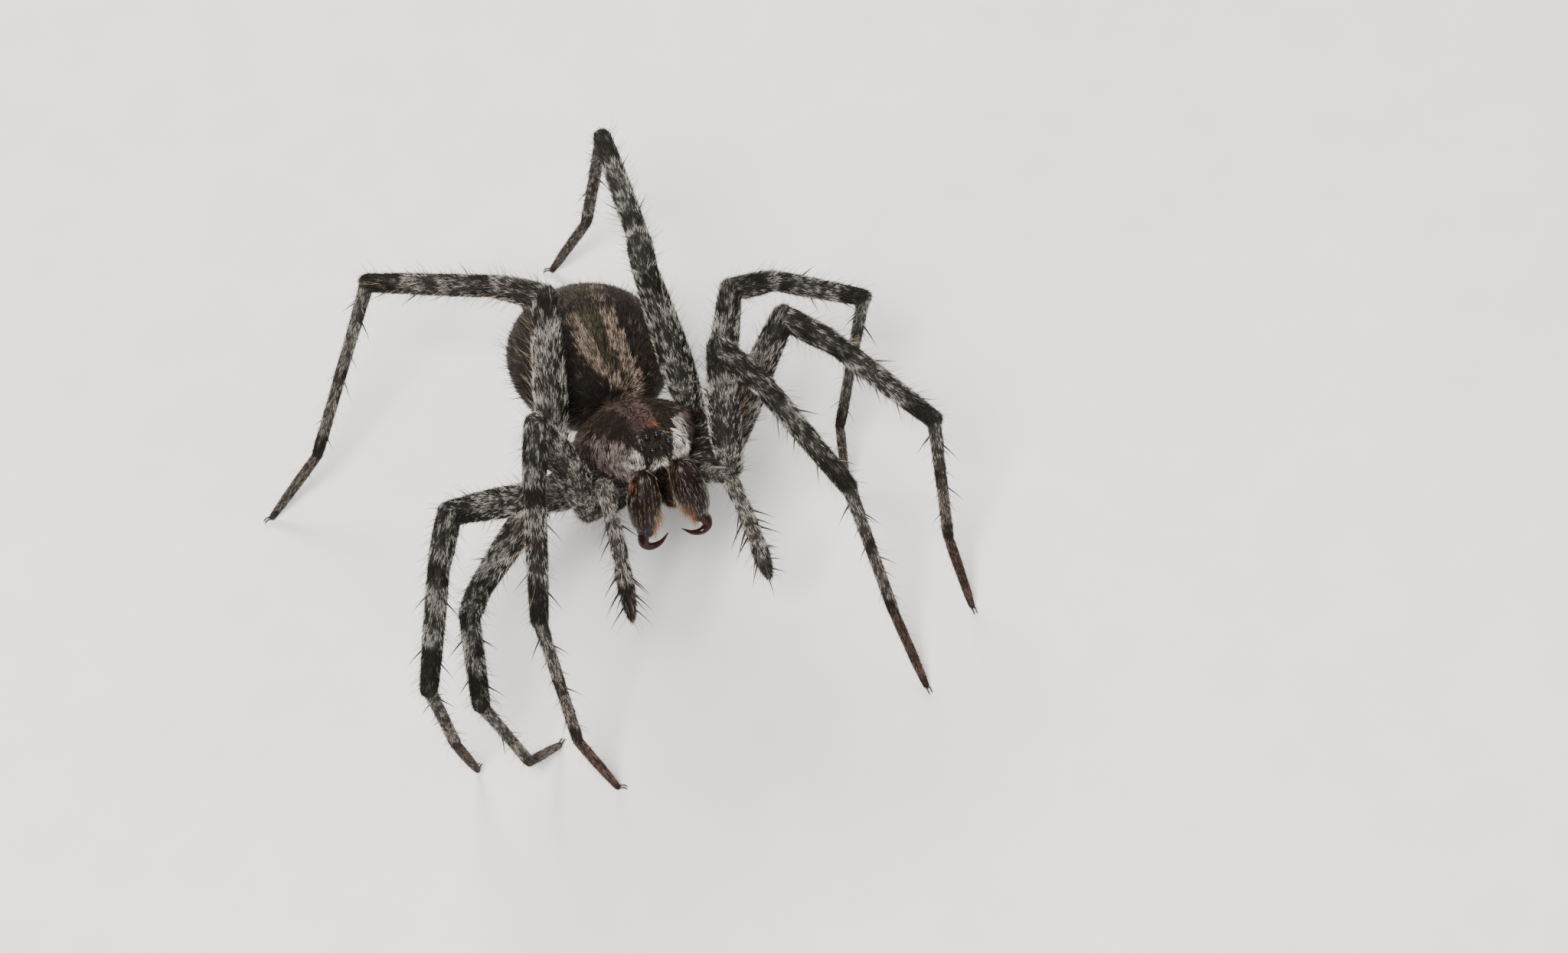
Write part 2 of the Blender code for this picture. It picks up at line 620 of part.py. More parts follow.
def make_eyes(head, collection):
    """Eight eyes set in the face, each found from the front by a ray onto the head."""
    made = []
    for side in SIDES:
        for label, (across, up, radius) in EYE_PLACES.items():
            start = Vector((SIDES[side] * across, -6.0, up)) * MM
            hit, place, normal, index = head.ray_cast(start, Vector((0, 1, 0)))
            centre = place / MM + normal * (EYE_STANDS_OUT * radius)
            eye = ball("eye_%s_%s" % (label, side), centre, radius, 8, collection)
            made.append({"object": eye, "centre": centre, "radius": radius})
    return made


def main():
    """Clears the scene and makes every piece of the spider."""
    for old in list(bpy.data.objects):
        bpy.data.objects.remove(old)
    collection = bpy.data.collections.new("desert_grass_spider")
    bpy.context.scene.collection.children.link(collection)
    cutters = hidden("cutters")
    make_body(collection, cutters)
    make_legs(collection, cutters)
    make_palps(collection, cutters)
    bpy.context.view_layer.update()


main()
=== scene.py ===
"""Looks of the desert grass spider: skins, hair, spines, jaws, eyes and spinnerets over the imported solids.

Metres, +Z up. The spider faces -Y and its left side is +X. Shapes are worked out in millimetres from
the same dimensions as the solids, each skin a coat's depth inside them, and then brought to metres.
"""
import math
import random

import bmesh
import bpy
import numpy as np
from bpy.props import FloatProperty, FloatVectorProperty, IntProperty, PointerProperty
from mathutils import Matrix, Vector, noise


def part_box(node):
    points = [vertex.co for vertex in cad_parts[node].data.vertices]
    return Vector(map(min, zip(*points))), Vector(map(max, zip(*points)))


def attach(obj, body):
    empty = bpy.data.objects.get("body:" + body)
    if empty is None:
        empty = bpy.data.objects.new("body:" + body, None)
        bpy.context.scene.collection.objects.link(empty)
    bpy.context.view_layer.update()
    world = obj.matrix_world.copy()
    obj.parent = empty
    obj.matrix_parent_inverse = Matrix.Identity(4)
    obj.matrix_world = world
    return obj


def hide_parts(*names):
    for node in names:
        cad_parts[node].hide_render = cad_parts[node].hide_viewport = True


bl_info = {
    "name": "Desert Grass Spider",
    "version": (1, 0, 0),
    "blender": (4, 5, 0),
    "location": "View3D > Sidebar > Spider",
    "description": "Skin, hair coat, spines, jaws and eyes of a desert grass spider",
    "category": "Object",
}

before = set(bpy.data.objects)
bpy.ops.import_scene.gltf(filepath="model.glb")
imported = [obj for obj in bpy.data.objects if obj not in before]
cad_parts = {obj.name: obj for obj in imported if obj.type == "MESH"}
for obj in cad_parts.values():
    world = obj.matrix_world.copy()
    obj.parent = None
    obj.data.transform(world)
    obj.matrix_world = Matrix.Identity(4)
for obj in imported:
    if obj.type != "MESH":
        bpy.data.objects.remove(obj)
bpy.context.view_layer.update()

MM = 0.001
SIDES = {"right": -1, "left": 1}

BODY_PLACE = (0.7, -2.06, 7.15)
NOSE_UP = 21
SIDE_LEAN = 8
BODY_TURN = -6

CARAPACE_HALF_LENGTH = 3.05
CARAPACE_HALF_WIDTH = ((-3.05, 0.75), (-2.8, 1.18), (-2.2, 1.34), (-1.4, 1.5), (-0.6, 1.98),
                       (0.4, 2.36), (1.4, 2.2), (2.3, 1.5), (3.05, 0.55))
CARAPACE_TOP = ((-3.05, 0.8), (-2.75, 1.2), (-2.0, 1.5), (-1.0, 1.6), (0.3, 1.45), (1.6, 1.0), (3.05, 0.3))
CARAPACE_UNDER = ((-3.05, 0.35), (-2.6, 0.1), (-2.1, -0.6), (-1.6, -1.4), (1.2, -1.5), (2.4, -1.0),
                  (3.05, -0.3))
FOVEA_AT = 1.25
FOVEA_REACH = 0.45
FOVEA_HALF_WIDTH = 0.09
FOVEA_DEPTH = 0.16

# Furrows run out from a point behind the head, at these degrees from straight ahead.
FURROWS = (38, 82, 118, 150)
FURROW_START = 0.9
FURROW_DEPTH = 0.07
FURROW_HALF_WIDTH = 7
FURROW_MIDDLE = 1.15
FURROW_REACH = 0.7

# Skins are these shares of the solids' outlines, a coat's depth less, and fill out this fast from the ends.
SKIN_SHARE = 0.955
CARAPACE_LENGTH_SHARE = 0.985
CARAPACE_WIDTH_SHARE = 0.965
ABDOMEN_LENGTH_SHARE = 0.49
CARAPACE_FILL = 1.9
ABDOMEN_FILL = 1.7
BODY_SEGMENTS = 72
CARAPACE_RINGS = 48
ABDOMEN_RINGS = 56

ABDOMEN_LENGTH = 8.4
ABDOMEN_FRONT = (0.0, 3.2, 0.15)
ABDOMEN_TURN = 4
ABDOMEN_LIFT = 3
ABDOMEN_HALF_WIDTH = ((0.0, 1.0), (0.1, 2.0), (0.3, 2.9), (0.5, 3.1), (0.7, 2.75), (0.88, 1.75), (1.0, 0.8))
ABDOMEN_TOP = ((0.0, 0.8), (0.1, 1.65), (0.3, 2.45), (0.5, 2.75), (0.7, 2.35), (0.88, 1.35), (1.0, 0.5))
ABDOMEN_UNDER = ((0.0, -0.8), (0.1, -1.6), (0.3, -2.3), (0.6, -2.5), (0.8, -2.1), (0.93, -1.4), (1.0, -0.7))

PEDICEL_ENDS = ((0.0, 2.45, -0.05), (0.0, 3.85, 0.1))
PEDICEL_RADIUS = 0.42

LEG_LENGTHS = {1: (5.5, 2.3, 5.0, 5.4, 3.2), 2: (5.6, 2.2, 4.7, 4.9, 3.0),
               3: (5.5, 2.0, 4.1, 5.1, 2.7), 4: (6.2, 2.3, 5.6, 7.4, 3.4)}
LEG_ROOTS = {1: (2.85, -2.05, -1.1), 2: (3.3, -0.75, -1.0), 3: (3.3, 0.95, -1.2), 4: (2.8, 2.2, -0.85)}
COXA_STARTS = {1: (1.0, -1.15, -0.8), 2: (1.1, -0.4, -0.8), 3: (1.1, 0.4, -0.8), 4: (1.0, 1.2, -0.7)}
LEG_GIRTH = {1: 1.0, 2: 1.0, 3: 0.95, 4: 1.04}
STANCE = {
    ("right", 1): ((112, 78), (34, -24), (34, -46), (8, -68), -56),
    ("right", 2): ((84, 32), (40, -12), (36, -21), (-138, -78), -130),
    ("right", 3): ((60, -2), (34, 24), (22, -2), (-104, -74), -124),
    ("right", 4): ((-150, 38), (148, -10), (138, -12), (68, -52), 90),
    ("left", 1): ((140, 76), (36, -44), (22, -46), (-4, -60), -4),
    ("left", 2): ((106, 50), (42, -30), (32, -34), (-28, -64), -8),
    ("left", 3): ((138, 40), (94, -24), (76, -36), (-52, -46), -28),
    ("left", 4): ((172, 58), (160, -14), (166, -2), (-168, -70), -122),
}
COXA_RADII = ((0.0, 0.44), (0.6, 0.53), (0.9, 0.5), (1.0, 0.42))
FEMUR_RADII = ((0.0, 0.44), (0.12, 0.5), (0.35, 0.59), (0.65, 0.55), (0.88, 0.48), (1.0, 0.45))
PATELLA_RADII = ((0.0, 0.44), (0.5, 0.46), (1.0, 0.41))
TIBIA_RADII = ((0.0, 0.38), (0.15, 0.4), (0.6, 0.38), (0.95, 0.34), (1.0, 0.33))
METATARSUS_RADII = ((0.0, 0.28), (0.15, 0.25), (0.6, 0.22), (0.96, 0.22), (1.0, 0.2))
TARSUS_RADII = ((0.0, 0.18), (0.1, 0.2), (0.3, 0.2), (0.75, 0.175), (1.0, 0.135))
LEG_RADII = (COXA_RADII, FEMUR_RADII, PATELLA_RADII, TIBIA_RADII, METATARSUS_RADII, TARSUS_RADII)
FEMUR_ARCH = 0.035

PALP_LENGTHS = (2.4, 1.0, 1.8, 2.3)
PALP_ROOT = (1.85, -2.35, -0.95)
PALP_START = (0.8, -1.5, -1.1)
PALP_STANCE = {"right": ((34, 66), (16, -26), (20, -50), (22, -52)),
               "left": ((4, 42), (2, -46), (10, -72), (40, -84))}
PALP_COXA_RADII = ((0.0, 0.36), (1.0, 0.33))
PALP_RADII = (((0.0, 0.25), (0.5, 0.29), (1.0, 0.29)), ((0.0, 0.28), (0.5, 0.31), (1.0, 0.27)),
              ((0.0, 0.26), (0.6, 0.3), (1.0, 0.27)), ((0.0, 0.26), (0.45, 0.3), (0.8, 0.23), (1.0, 0.14)))

MAXILLA_ENDS = ((0.7, -1.35, -1.2), (0.5, -1.8, -1.75))
MAXILLA_RADIUS = 0.38
LABIUM_ENDS = ((0.0, -1.2, -1.3), (0.0, -1.75, -1.5))
LABIUM_RADIUS = 0.3

CHELICERA_TOP = (0.78, -2.98, -0.14)
CHELICERA_LENGTH = 1.85
CHELICERA_SPLAY = 9
CHELICERA_FORWARD = 5
CHELICERA_RADII = ((0.0, 0.52), (0.3, 0.63), (0.6, 0.63), (0.85, 0.52), (1.0, 0.36))
FANG_POINTS = ((1.12, -3.2, -2.0), (1.26, -3.26, -2.3), (1.22, -3.3, -2.52), (0.98, -3.31, -2.66),
               (0.62, -3.3, -2.6), (0.26, -3.24, -2.34))
FANG_RADII = (0.24, 0.22, 0.185, 0.14, 0.09, 0.012)

SPINNERET_LONG = (((0.62, 0.965, -0.3), 0.26), ((0.85, 1.07, -0.5), 0.26), ((0.95, 1.12, -0.56), 0.19),
                  ((1.05, 1.17, -0.6), 0.19), ((1.2, 1.26, -0.6), 0.07))
SPINNERET_SHORT = (((0.44, 0.95, -1.15), 0.25), ((0.52, 1.03, -1.35), 0.24), ((0.56, 1.08, -1.45), 0.13))

LEG_ROOM = (1.05, 0.85, 0.8, 0.66, 0.6)
PALP_ROOM = (0.7, 0.7, 0.7, 0.7)
JAW_ROOM = 1.0
FLOOR_ROOM = 0.5
ABDOMEN_ROOM = (3.6, 4.7, 3.3)
CARAPACE_ROOM = (2.9, 3.6, 2.0)
SPINE_LEAN = (42, 52)
SPINE_SINK = 0.07
SPINE_TURNS = (0, 30, -30)
FEMUR_SPINES = ((0.35, 10, 1.5), (0.55, -35, 1.4), (0.72, 35, 1.4), (0.84, 0, 1.3))
TIBIA_SPINES = ((0.18, 80, 1.4), (0.24, -80, 1.4), (0.38, 150, 1.3), (0.56, -150, 1.3), (0.62, 95, 1.3),
                (0.74, -95, 1.3), (0.9, 160, 1.1))
METATARSUS_SPINES = ((0.12, 100, 1.2), (0.2, -110, 1.2), (0.45, 150, 1.1), (0.55, -95, 1.1),
                     (0.9, 110, 0.8), (0.92, -110, 0.8))
PALP_SPINES = ((0.62, 85, 1.4), (0.7, -85, 1.4), (0.85, 120, 1.3), (0.9, -120, 1.3))
LEG_BRISTLES = ((0.1, 60, 0.8), (0.22, -70, 0.75), (0.3, 120, 0.8), (0.42, -120, 0.8), (0.5, 20, 0.7),
                (0.66, -40, 0.8), (0.78, 70, 0.75), (0.86, -110, 0.8))
PALP_BRISTLES = ((0.15, 70, 1.3), (0.25, -80, 1.3), (0.45, 110, 1.4), (0.55, -110, 1.4), (0.75, 60, 1.2),
                 (0.82, -60, 1.2))
PALP_TIP_SPINES = ((0.2, 90, 1.25), (0.3, -90, 1.25), (0.5, 60, 1.1), (0.6, -60, 1.1))

# Which spines stand on which length of a limb.
LEG_SPINE_SETS = ((FEMUR_SPINES, 0), (TIBIA_SPINES, 2), (METATARSUS_SPINES, 3), (LEG_BRISTLES, 0),
                  (LEG_BRISTLES, 1), (LEG_BRISTLES, 2), (LEG_BRISTLES, 3))
PALP_SPINE_SETS = ((PALP_SPINES, 2), (PALP_TIP_SPINES, 3), (PALP_BRISTLES, 2), (PALP_BRISTLES, 3))

# Along the abdomen: how far its pattern leans to the left, and how far its stripes stand from its middle.
PATTERN_LEAN = ((0.0, 0.03, 0.055, 0.09, 0.155, 0.3, 0.8), (0.74, 0.7, 0.52, 0.39, 0.29, 0.24, 0.0))
STRIPE_LINE = ((0.0, 0.03, 0.055, 0.09, 0.16, 0.3, 0.5, 0.75, 1.0),
               (0.15, 0.33, 0.54, 0.6, 0.58, 0.64, 0.85, 0.75, 0.2))

# Along the carapace: how far from its middle the pale sides begin.
CHEEK_LINE = ((-2.9, -2.3, -1.4, -0.4, 0.6, 2.0), (0.6, 0.88, 1.15, 1.5, 1.8, 1.9))
ORANGE_SPOT = (0.2, -1.66)
FACE_DAB = (0.5, -2.35)

# Noise of the markings as (scale, seed): its clouds, its specks and its fine grain.
HEAD_NOISE = ((1.3, 2), (3.2, 5), (8.0, 9))
ABDOMEN_NOISE = ((1.3, 12), (3.2, 15), (7.0, 19))

# Dark rings of a leg, as (middle, half width, strength) along each of its lengths, coxa to tarsus.
LEG_RINGS = (
    ((0.5, 0.6, 0.6),),
    ((0.25, 0.07, 0.2), (0.56, 0.09, 0.25), (0.93, 0.1, 0.6)),
    ((0.4, 0.4, 0.6),),
    ((0.05, 0.12, 0.75), (0.45, 0.08, 0.45), (0.86, 0.17, 0.95)),
    ((0.0, 0.05, 0.3), (0.48, 0.08, 0.5), (0.95, 0.08, 0.95)),
    ((0.95, 0.15, 0.5),),
)
PALP_RINGS = (((0.0, 0.25, 0.4), (0.95, 0.1, 0.4)), ((0.5, 0.2, 0.3),), ((0.95, 0.1, 0.4),),
              ((0.85, 0.5, 0.85),))

# Hair length along each part of a limb, as a share of its coat's length.
LEG_HAIR = (0.42, 0.46, 0.44, 0.42, 0.32, 0.27)
PALP_HAIR = (0.36, 0.38, 0.4, 0.5)

DOME_STEPS = 5
LIMB_STEPS = 14
JAW_SIDES = 96
JAW_HAIR_ROWS = 24
FANG_SIDES = 16

# A claw's middle line as (ahead, up) from the foot's end, its radii, and how far it stands aside.
CLAW_LINE = ((0.0, 0.0), (0.2, 0.04), (0.33, -0.03), (0.37, -0.12))
CLAW_RADII = (0.035, 0.032, 0.022, 0.006)
CLAW_ASIDE = 0.06

# The colours and directions that a skin keeps at its points: all else that it keeps is plain numbers.
KEPT_AS = {"marking": "FLOAT_COLOR", "shell": "FLOAT_COLOR", "comb": "FLOAT_VECTOR",
           "outward": "FLOAT_VECTOR", "unwrap": "FLOAT_VECTOR", "patch": "FLOAT_VECTOR"}

# What a skin keeps for its growth alone, which the grown hair doesn't need.
GROWTH_ONLY = (*KEPT_AS, "fur_length", "pale")

# The unwrap keeps this far from the map's edges, and each hair has a patch this wide in it.
UNWRAP_EDGE = 0.02
UNWRAP_SPAN = 0.96
UNWRAP_PATCH = 0.0015

# The carapace takes this much of the body's unwrap, and the abdomen the half beyond it.
HEAD_ROOM = 0.46 / UNWRAP_SPAN

# How far the hairs vary: lift in radians, brightness, and length.
LIFT_VARIES = 0.15
HAIR_LIGHT = (0.6, 1.5)
HAIR_SIZES = (0.65, 1.25)

# Round each eye, hair begins to grow between the first two distances and is full length past the others.
EYE_BARE = (0.13, 0.19)
EYE_SHORT = (0.18, 0.32)

# Hairs on a square millimetre, and lengths and thicknesses as shares of the body's lying hair.
BODY_STANDING_DENSITY = 7.0
BODY_STANDING_LENGTH = 2
STANDING_LENGTH = 3.2
STANDING_THICKNESS = 1.25
GOLDEN_LENGTH = 3.6
GOLDEN_SHARE = 0.45
JAW_DENSITY = 760.0
JAW_THICKNESS = 0.52
FRINGE_DENSITY = 220.0
FRINGE_LENGTH = 1.9
FRINGE_THICKNESS = 0.8
SPINNERET_DENSITY = 120.0

EYE_PATCH_HAIR = (0.14, 0.1, 0.07)
STERNUM_HAIR = (0.16, 0.1, 0.06)
ABDOMEN_DOTS = (0.25, 0.2, 0.15)
ABDOMEN_UNDERSIDE = (0.2, 0.155, 0.115)
PALP_DARK = (0.1, 0.082, 0.07)
JAW_HAIRS = ((0.42, 0.38, 0.32), (0.3, 0.2, 0.1))
SPINNERET_HAIRS = ((0.34, 0.26, 0.18), (0.07, 0.05, 0.035))
SPINE_BLACK = (0.012, 0.01, 0.009)
CLAW_HORN = (0.02, 0.014, 0.01)
EYE_BLACK = (0.006, 0.005, 0.006)

# Each finish: what of the mesh gives its colour, if anything, then its grain, its bumps and its shine.
FINISHES = {
    "cuticle": ("marking", {"Scale": 7000.0, "Tone": 0.06}, {"Strength": 0.5},
                {"Roughness": 0.7, "Specular IOR Level": 0.08}),
    "hair": ("hair_colour", {"Scale": 3000.0, "Drift": 0.15}, None,
             {"Roughness": 0.45, "Specular IOR Level": 0.2}),
    "jaw_gloss": ("shell", {"Scale": 24000.0, "Drift": 0.5}, {"Strength": 0.7, "Distance": 0.00001},
                  {"Roughness": 0.3, "Specular IOR Level": 0.14}),
    "fang_gloss": (None, {"Scale": 2500.0, "Drift": 0.5}, {"Strength": 0.06},
                   {"Roughness": 0.2, "Specular IOR Level": 0.2}),
    "eye_gloss": (None, {"Scale": 900.0, "Drift": 0.3}, None,
                  {"Roughness": 0.08, "Specular IOR Level": 0.2}),
    "spine_black": (None, {"Scale": 4000.0}, {"Strength": 0.1}, {"Roughness": 0.3}),
    "claw_horn": (None, {"Scale": 4000.0}, {"Strength": 0.1}, {"Roughness": 0.3}),
    "floor_pale": (None, {"Scale": 400.0, "Drift": 0.04}, None, {"Roughness": 0.85}),
}
BUMP_DEPTH = 0.00002

FLOOR_SIZE = 900.0
WORLD_COLOUR = (0.93, 0.95, 1.0, 1.0)
WORLD_STRENGTH = 0.45

# Soft lamps as (name, place, size, power, colour), which all look at a point over the floor.
LIGHTS = (
    ("key", (-0.12, -0.14, 0.28), 0.12, 2.6, (1.0, 0.97, 0.93)),
    ("fill", (0.26, -0.2, 0.16), 0.25, 0.5, (0.93, 0.96, 1.0)),
    ("rim", (0.05, 0.28, 0.22), 0.12, 1.7, (1.0, 0.98, 0.95)),
)
LIGHT_AIM = (0, 0, 0.006)

CAMERA_AZIMUTH = -21
CAMERA_ELEVATION = 50
CAMERA_ROLL = -11
CAMERA_DISTANCE = 260
CAMERA_OFFSET = (-5.0, -3.4)
CAMERA_AIM = (-0.45, 0.0)
CAMERA_LENS = 155.4
CAMERA_SENSOR = 36
CAMERA_CLIP = (0.01, 10)


class SpiderSettings(bpy.types.PropertyGroup):
    """Sizes and colours of the spider that a user would change."""

    voxel: FloatProperty(name="Skin grain", description="Cell size of the fused skins", default=0.00007,
                         min=0.00003, max=0.0003, precision=6, unit="LENGTH")
    hair_length: FloatProperty(name="Hair length", description="Length of the body's lying hair",
                               default=0.0005, precision=6, unit="LENGTH")
    hair_thickness: FloatProperty(name="Hair thickness", description="Radius of a hair at its root",
                                  default=0.000015, precision=6, unit="LENGTH")
    abdomen_density: FloatProperty(name="Abdomen density", description="Hairs on a square millimetre",
                                   default=360.0)
    carapace_density: FloatProperty(name="Carapace density", description="Hairs on a square millimetre",
                                    default=420.0)
    leg_density: FloatProperty(name="Leg density", description="Hairs on a square millimetre", default=500.0)
    fine_density: FloatProperty(name="Fine hair density", default=20.0,
                                description="Standing hairs on a square millimetre")
    spine_thickness: FloatProperty(name="Spine thickness", description="Radius of a spine at its root",
                                   default=0.00004, precision=6, unit="LENGTH")
    seed: IntProperty(name="Seed", description="Seed of every random draw of the coat", default=11)
    dark_hair: FloatVectorProperty(name="Dark hair", description="Dark hairs among the pale ones",
                                   subtype="COLOR", default=(0.011, 0.008, 0.005))
    leg_pale: FloatVectorProperty(name="Leg pale", description="Pale hair of the legs", subtype="COLOR",
                                  default=(0.43, 0.41, 0.365))
    leg_dark: FloatVectorProperty(name="Leg dark", description="Dark rings and knees", subtype="COLOR",
                                  default=(0.03, 0.024, 0.018))
    leg_red: FloatVectorProperty(name="Leg red", description="Reddish feet of the front legs",
                                 subtype="COLOR", default=(0.2, 0.08, 0.05))
    palp_pale: FloatVectorProperty(name="Palp pale", description="Pale hair of the palps", subtype="COLOR",
                                   default=(0.46, 0.43, 0.38))
    # The carapace's dark and middle colours are its own bands, set darker still as painted shade over the
    # head.
    carapace_dark: FloatVectorProperty(name="Carapace dark", description="Dark bands of the carapace",
                                       subtype="COLOR", default=(0.07, 0.042, 0.022))
    carapace_middle: FloatVectorProperty(name="Carapace middle", description="Band down the carapace",
                                         subtype="COLOR", default=(0.14, 0.09, 0.076))
    cream: FloatVectorProperty(name="Cream", description="Cream patches of the face and cheeks",
                               subtype="COLOR", default=(0.58, 0.545, 0.49))
    # The cheek colour is painted shade: the cream of the pale sides as it looks in shade.
    cheek: FloatVectorProperty(name="Cheek", description="Pinkish grey sides of the carapace",
                               subtype="COLOR", default=(0.165, 0.122, 0.112))
    orange: FloatVectorProperty(name="Orange hair", description="Few orange hairs on the head",
                                subtype="COLOR", default=(0.32, 0.075, 0.025))
    abdomen_dark: FloatVectorProperty(name="Abdomen dark", description="Sides of the abdomen",
                                      subtype="COLOR", default=(0.034, 0.024, 0.018))
    abdomen_stripe: FloatVectorProperty(name="Abdomen stripes", description="Two stripes down the abdomen",
                                        subtype="COLOR", default=(0.37, 0.28, 0.215))
    abdomen_middle: FloatVectorProperty(name="Abdomen middle", description="Band between the stripes",
                                        subtype="COLOR", default=(0.11, 0.095, 0.055))
    jaw: FloatVectorProperty(name="Jaw", description="Glossy jaws", subtype="COLOR",
                             default=(0.006, 0.0028, 0.0024))
    amber: FloatVectorProperty(name="Amber", description="Outer edges of the jaws at their tops",
                               subtype="COLOR", default=(0.07, 0.023, 0.006))
    fang: FloatVectorProperty(name="Fang", description="Glossy fangs", subtype="COLOR",
                              default=(0.012, 0.003, 0.0025))
    gold: FloatVectorProperty(name="Golden hair", description="Fringe of the jaws", subtype="COLOR",
                              default=(0.22, 0.1, 0.03))
    gold_pale: FloatVectorProperty(name="Pale gold", description="Long pale hairs under the legs",
                                   subtype="COLOR", default=(0.3, 0.23, 0.15))
    floor: FloatVectorProperty(name="Floor", description="Pale floor", subtype="COLOR",
                               default=(0.72, 0.7, 0.67))


# Places and outlines, in millimetres.

def body_matrix():
    """Where the body frame stands over the floor, in millimetres."""
    stand = Matrix.Translation(Vector(BODY_PLACE))
    for angle, axis in ((-NOSE_UP, "X"), (SIDE_LEAN, "Y"), (BODY_TURN, "Z")):
        stand = stand @ Matrix.Rotation(math.radians(angle), 4, axis)
    return stand


def profile(stations, place):
    """A smooth value at a place along stations of (place, value)."""
    places = [station[0] for station in stations]
    values = [station[1] for station in stations]
    if place <= places[0]:
        return values[0]
    if place >= places[-1]:
        return values[-1]
    last = len(places) - 1
    k = max(index for index in range(last) if places[index] <= place)
    span = places[k + 1] - places[k]
    share = (place - places[k]) / span

    def slope(index):
        low, high = max(index - 1, 0), min(index + 1, last)
        return (values[high] - values[low]) / (places[high] - places[low])

    a, b = slope(k) * span, slope(k + 1) * span
    square, cube = share * share, share ** 3
    return ((2 * cube - 3 * square + 1) * values[k] + (cube - 2 * square + share) * a
            + (3 * square - 2 * cube) * values[k + 1] + (cube - square) * b)


def direction(side, heading, rise):
    """A unit vector: heading 0 is straight ahead, 90 is out to that side, and rise is above level."""
    ahead, climb = math.radians(heading), math.radians(rise)
    level = math.cos(climb)
    return Vector((SIDES[side] * math.sin(ahead) * level, -math.cos(ahead) * level, math.sin(climb)))


def mirrored(point, side):
    """A point given for the left side, on either side of the body."""
    return Vector((SIDES[side] * point[0], point[1], point[2]))


def leg_points(side, number):
    """The coxa's start, the root, the knee, the ends of patella, tibia and metatarsus, and the tip."""
    stand = body_matrix()
    points = [stand @ mirrored(COXA_STARTS[number], side), stand @ mirrored(LEG_ROOTS[number], side)]
    for length, (heading, rise) in zip(LEG_LENGTHS[number], STANCE[side, number][:4]):
        points.append(points[-1] + direction(side, heading, rise) * length)
    reach = LEG_LENGTHS[number][4]
    drop = math.degrees(math.asin(points[-1].z / reach))
    points.append(points[-1] + direction(side, STANCE[side, number][4], -drop) * reach)
    return points


def foot_end(chain):
    """Where the tarsus of a leg ends, just over the floor."""
    return chain[6] + (chain[5] - chain[6]) * (TARSUS_RADII[-1][1] * 1.05 / chain[5].z)


def palp_points(side):
    """The root, the joints and the tip of a palp."""
    points = [body_matrix() @ mirrored(PALP_ROOT, side)]
    for length, (heading, rise) in zip(PALP_LENGTHS, PALP_STANCE[side]):
        points.append(points[-1] + direction(side, heading, rise) * length)
    return points


def chelicera_stations(side):
    """Points and radii of one jaw, in the body frame."""
    splay, forward = math.radians(CHELICERA_SPLAY), math.radians(CHELICERA_FORWARD)
    way = Vector((SIDES[side] * math.sin(splay), -math.sin(forward), -math.cos(splay)))
    top = mirrored(CHELICERA_TOP, side)
    points = [top + way * (share * CHELICERA_LENGTH) for share, radius in CHELICERA_RADII]
    return points, [radius for share, radius in CHELICERA_RADII]


def round_the_line(unit):
    """How far a point of the unit sphere stands from its long axis, and the way across and up to it."""
    round_share = math.sqrt(max(1 - unit.y ** 2, 0.0))
    if round_share < 1e-4:
        return round_share, 0.0, 0.0
    return round_share, unit.x / round_share, unit.z / round_share


def carapace_place(unit):
    """Moves a point of the unit sphere onto the carapace and the sternum, a coat's depth inside."""
    along = unit.y * CARAPACE_HALF_LENGTH * CARAPACE_LENGTH_SHARE
    round_share, across, up = round_the_line(unit)
    top, under = profile(CARAPACE_TOP, along), profile(CARAPACE_UNDER, along)
    middle, half = (top + under) / 2, (top - under) / 2
    fill = min(1.0, CARAPACE_FILL * math.sqrt(round_share))
    width = profile(CARAPACE_HALF_WIDTH, along) * fill
    height = middle + SKIN_SHARE * half * fill * up
    return Vector((CARAPACE_WIDTH_SHARE * width * across, along, height))


def abdomen_axes():
    """The directions across, back and up of the abdomen, in the body frame."""
    turn, lift = math.radians(ABDOMEN_TURN), math.radians(ABDOMEN_LIFT)
    back = Vector((math.sin(turn) * math.cos(lift), math.cos(turn) * math.cos(lift), math.sin(lift)))
    across = Vector((math.cos(turn), -math.sin(turn), 0.0))
    return across, back, across.cross(back)


def abdomen_point(across_mm, share, up_mm):
    """A point by its share of the abdomen's length and its place beside and above its axis."""
    across, back, up = abdomen_axes()
    return Vector(ABDOMEN_FRONT) + back * (share * ABDOMEN_LENGTH) + across * across_mm + up * up_mm


def abdomen_place(unit):
    """Moves a point of the unit sphere onto the abdomen, a coat's depth inside."""
    share = 0.5 + ABDOMEN_LENGTH_SHARE * unit.y
    round_share, across, up = round_the_line(unit)
    top, under = profile(ABDOMEN_TOP, share), profile(ABDOMEN_UNDER, share)
    middle, half = (top + under) / 2, (top - under) / 2
    fill = min(1.0, ABDOMEN_FILL * math.sqrt(round_share))
    width = profile(ABDOMEN_HALF_WIDTH, share) * fill * SKIN_SHARE
    return abdomen_point(width * across, share, middle + SKIN_SHARE * half * fill * up)


def distance(point, a, b):
    """From a point to the line between two joints."""
    run = b - a
    share = min(max((point - a).dot(run) / run.length_squared, 0.0), 1.0)
    return (a + run * share - point).length


# Mesh helpers.

def link(name, data):
    """A named object for a mesh, a lamp or a camera, in the scene."""
    made = bpy.data.objects.new(name, data)
    bpy.context.scene.collection.objects.link(made)
    return made


def resample(points, radii, count):
    """The same line with its points and radii taken smoothly at more places."""
    last = len(points) - 1
    smooth_points, smooth_radii = [], []
    for step in range(count):
        place = last * step / (count - 1)
        spot = [profile([(i, point[axis]) for i, point in enumerate(points)], place) for axis in range(3)]
        smooth_points.append(Vector(spot))
        smooth_radii.append(profile(list(enumerate(radii)), place))
    return smooth_points, smooth_radii


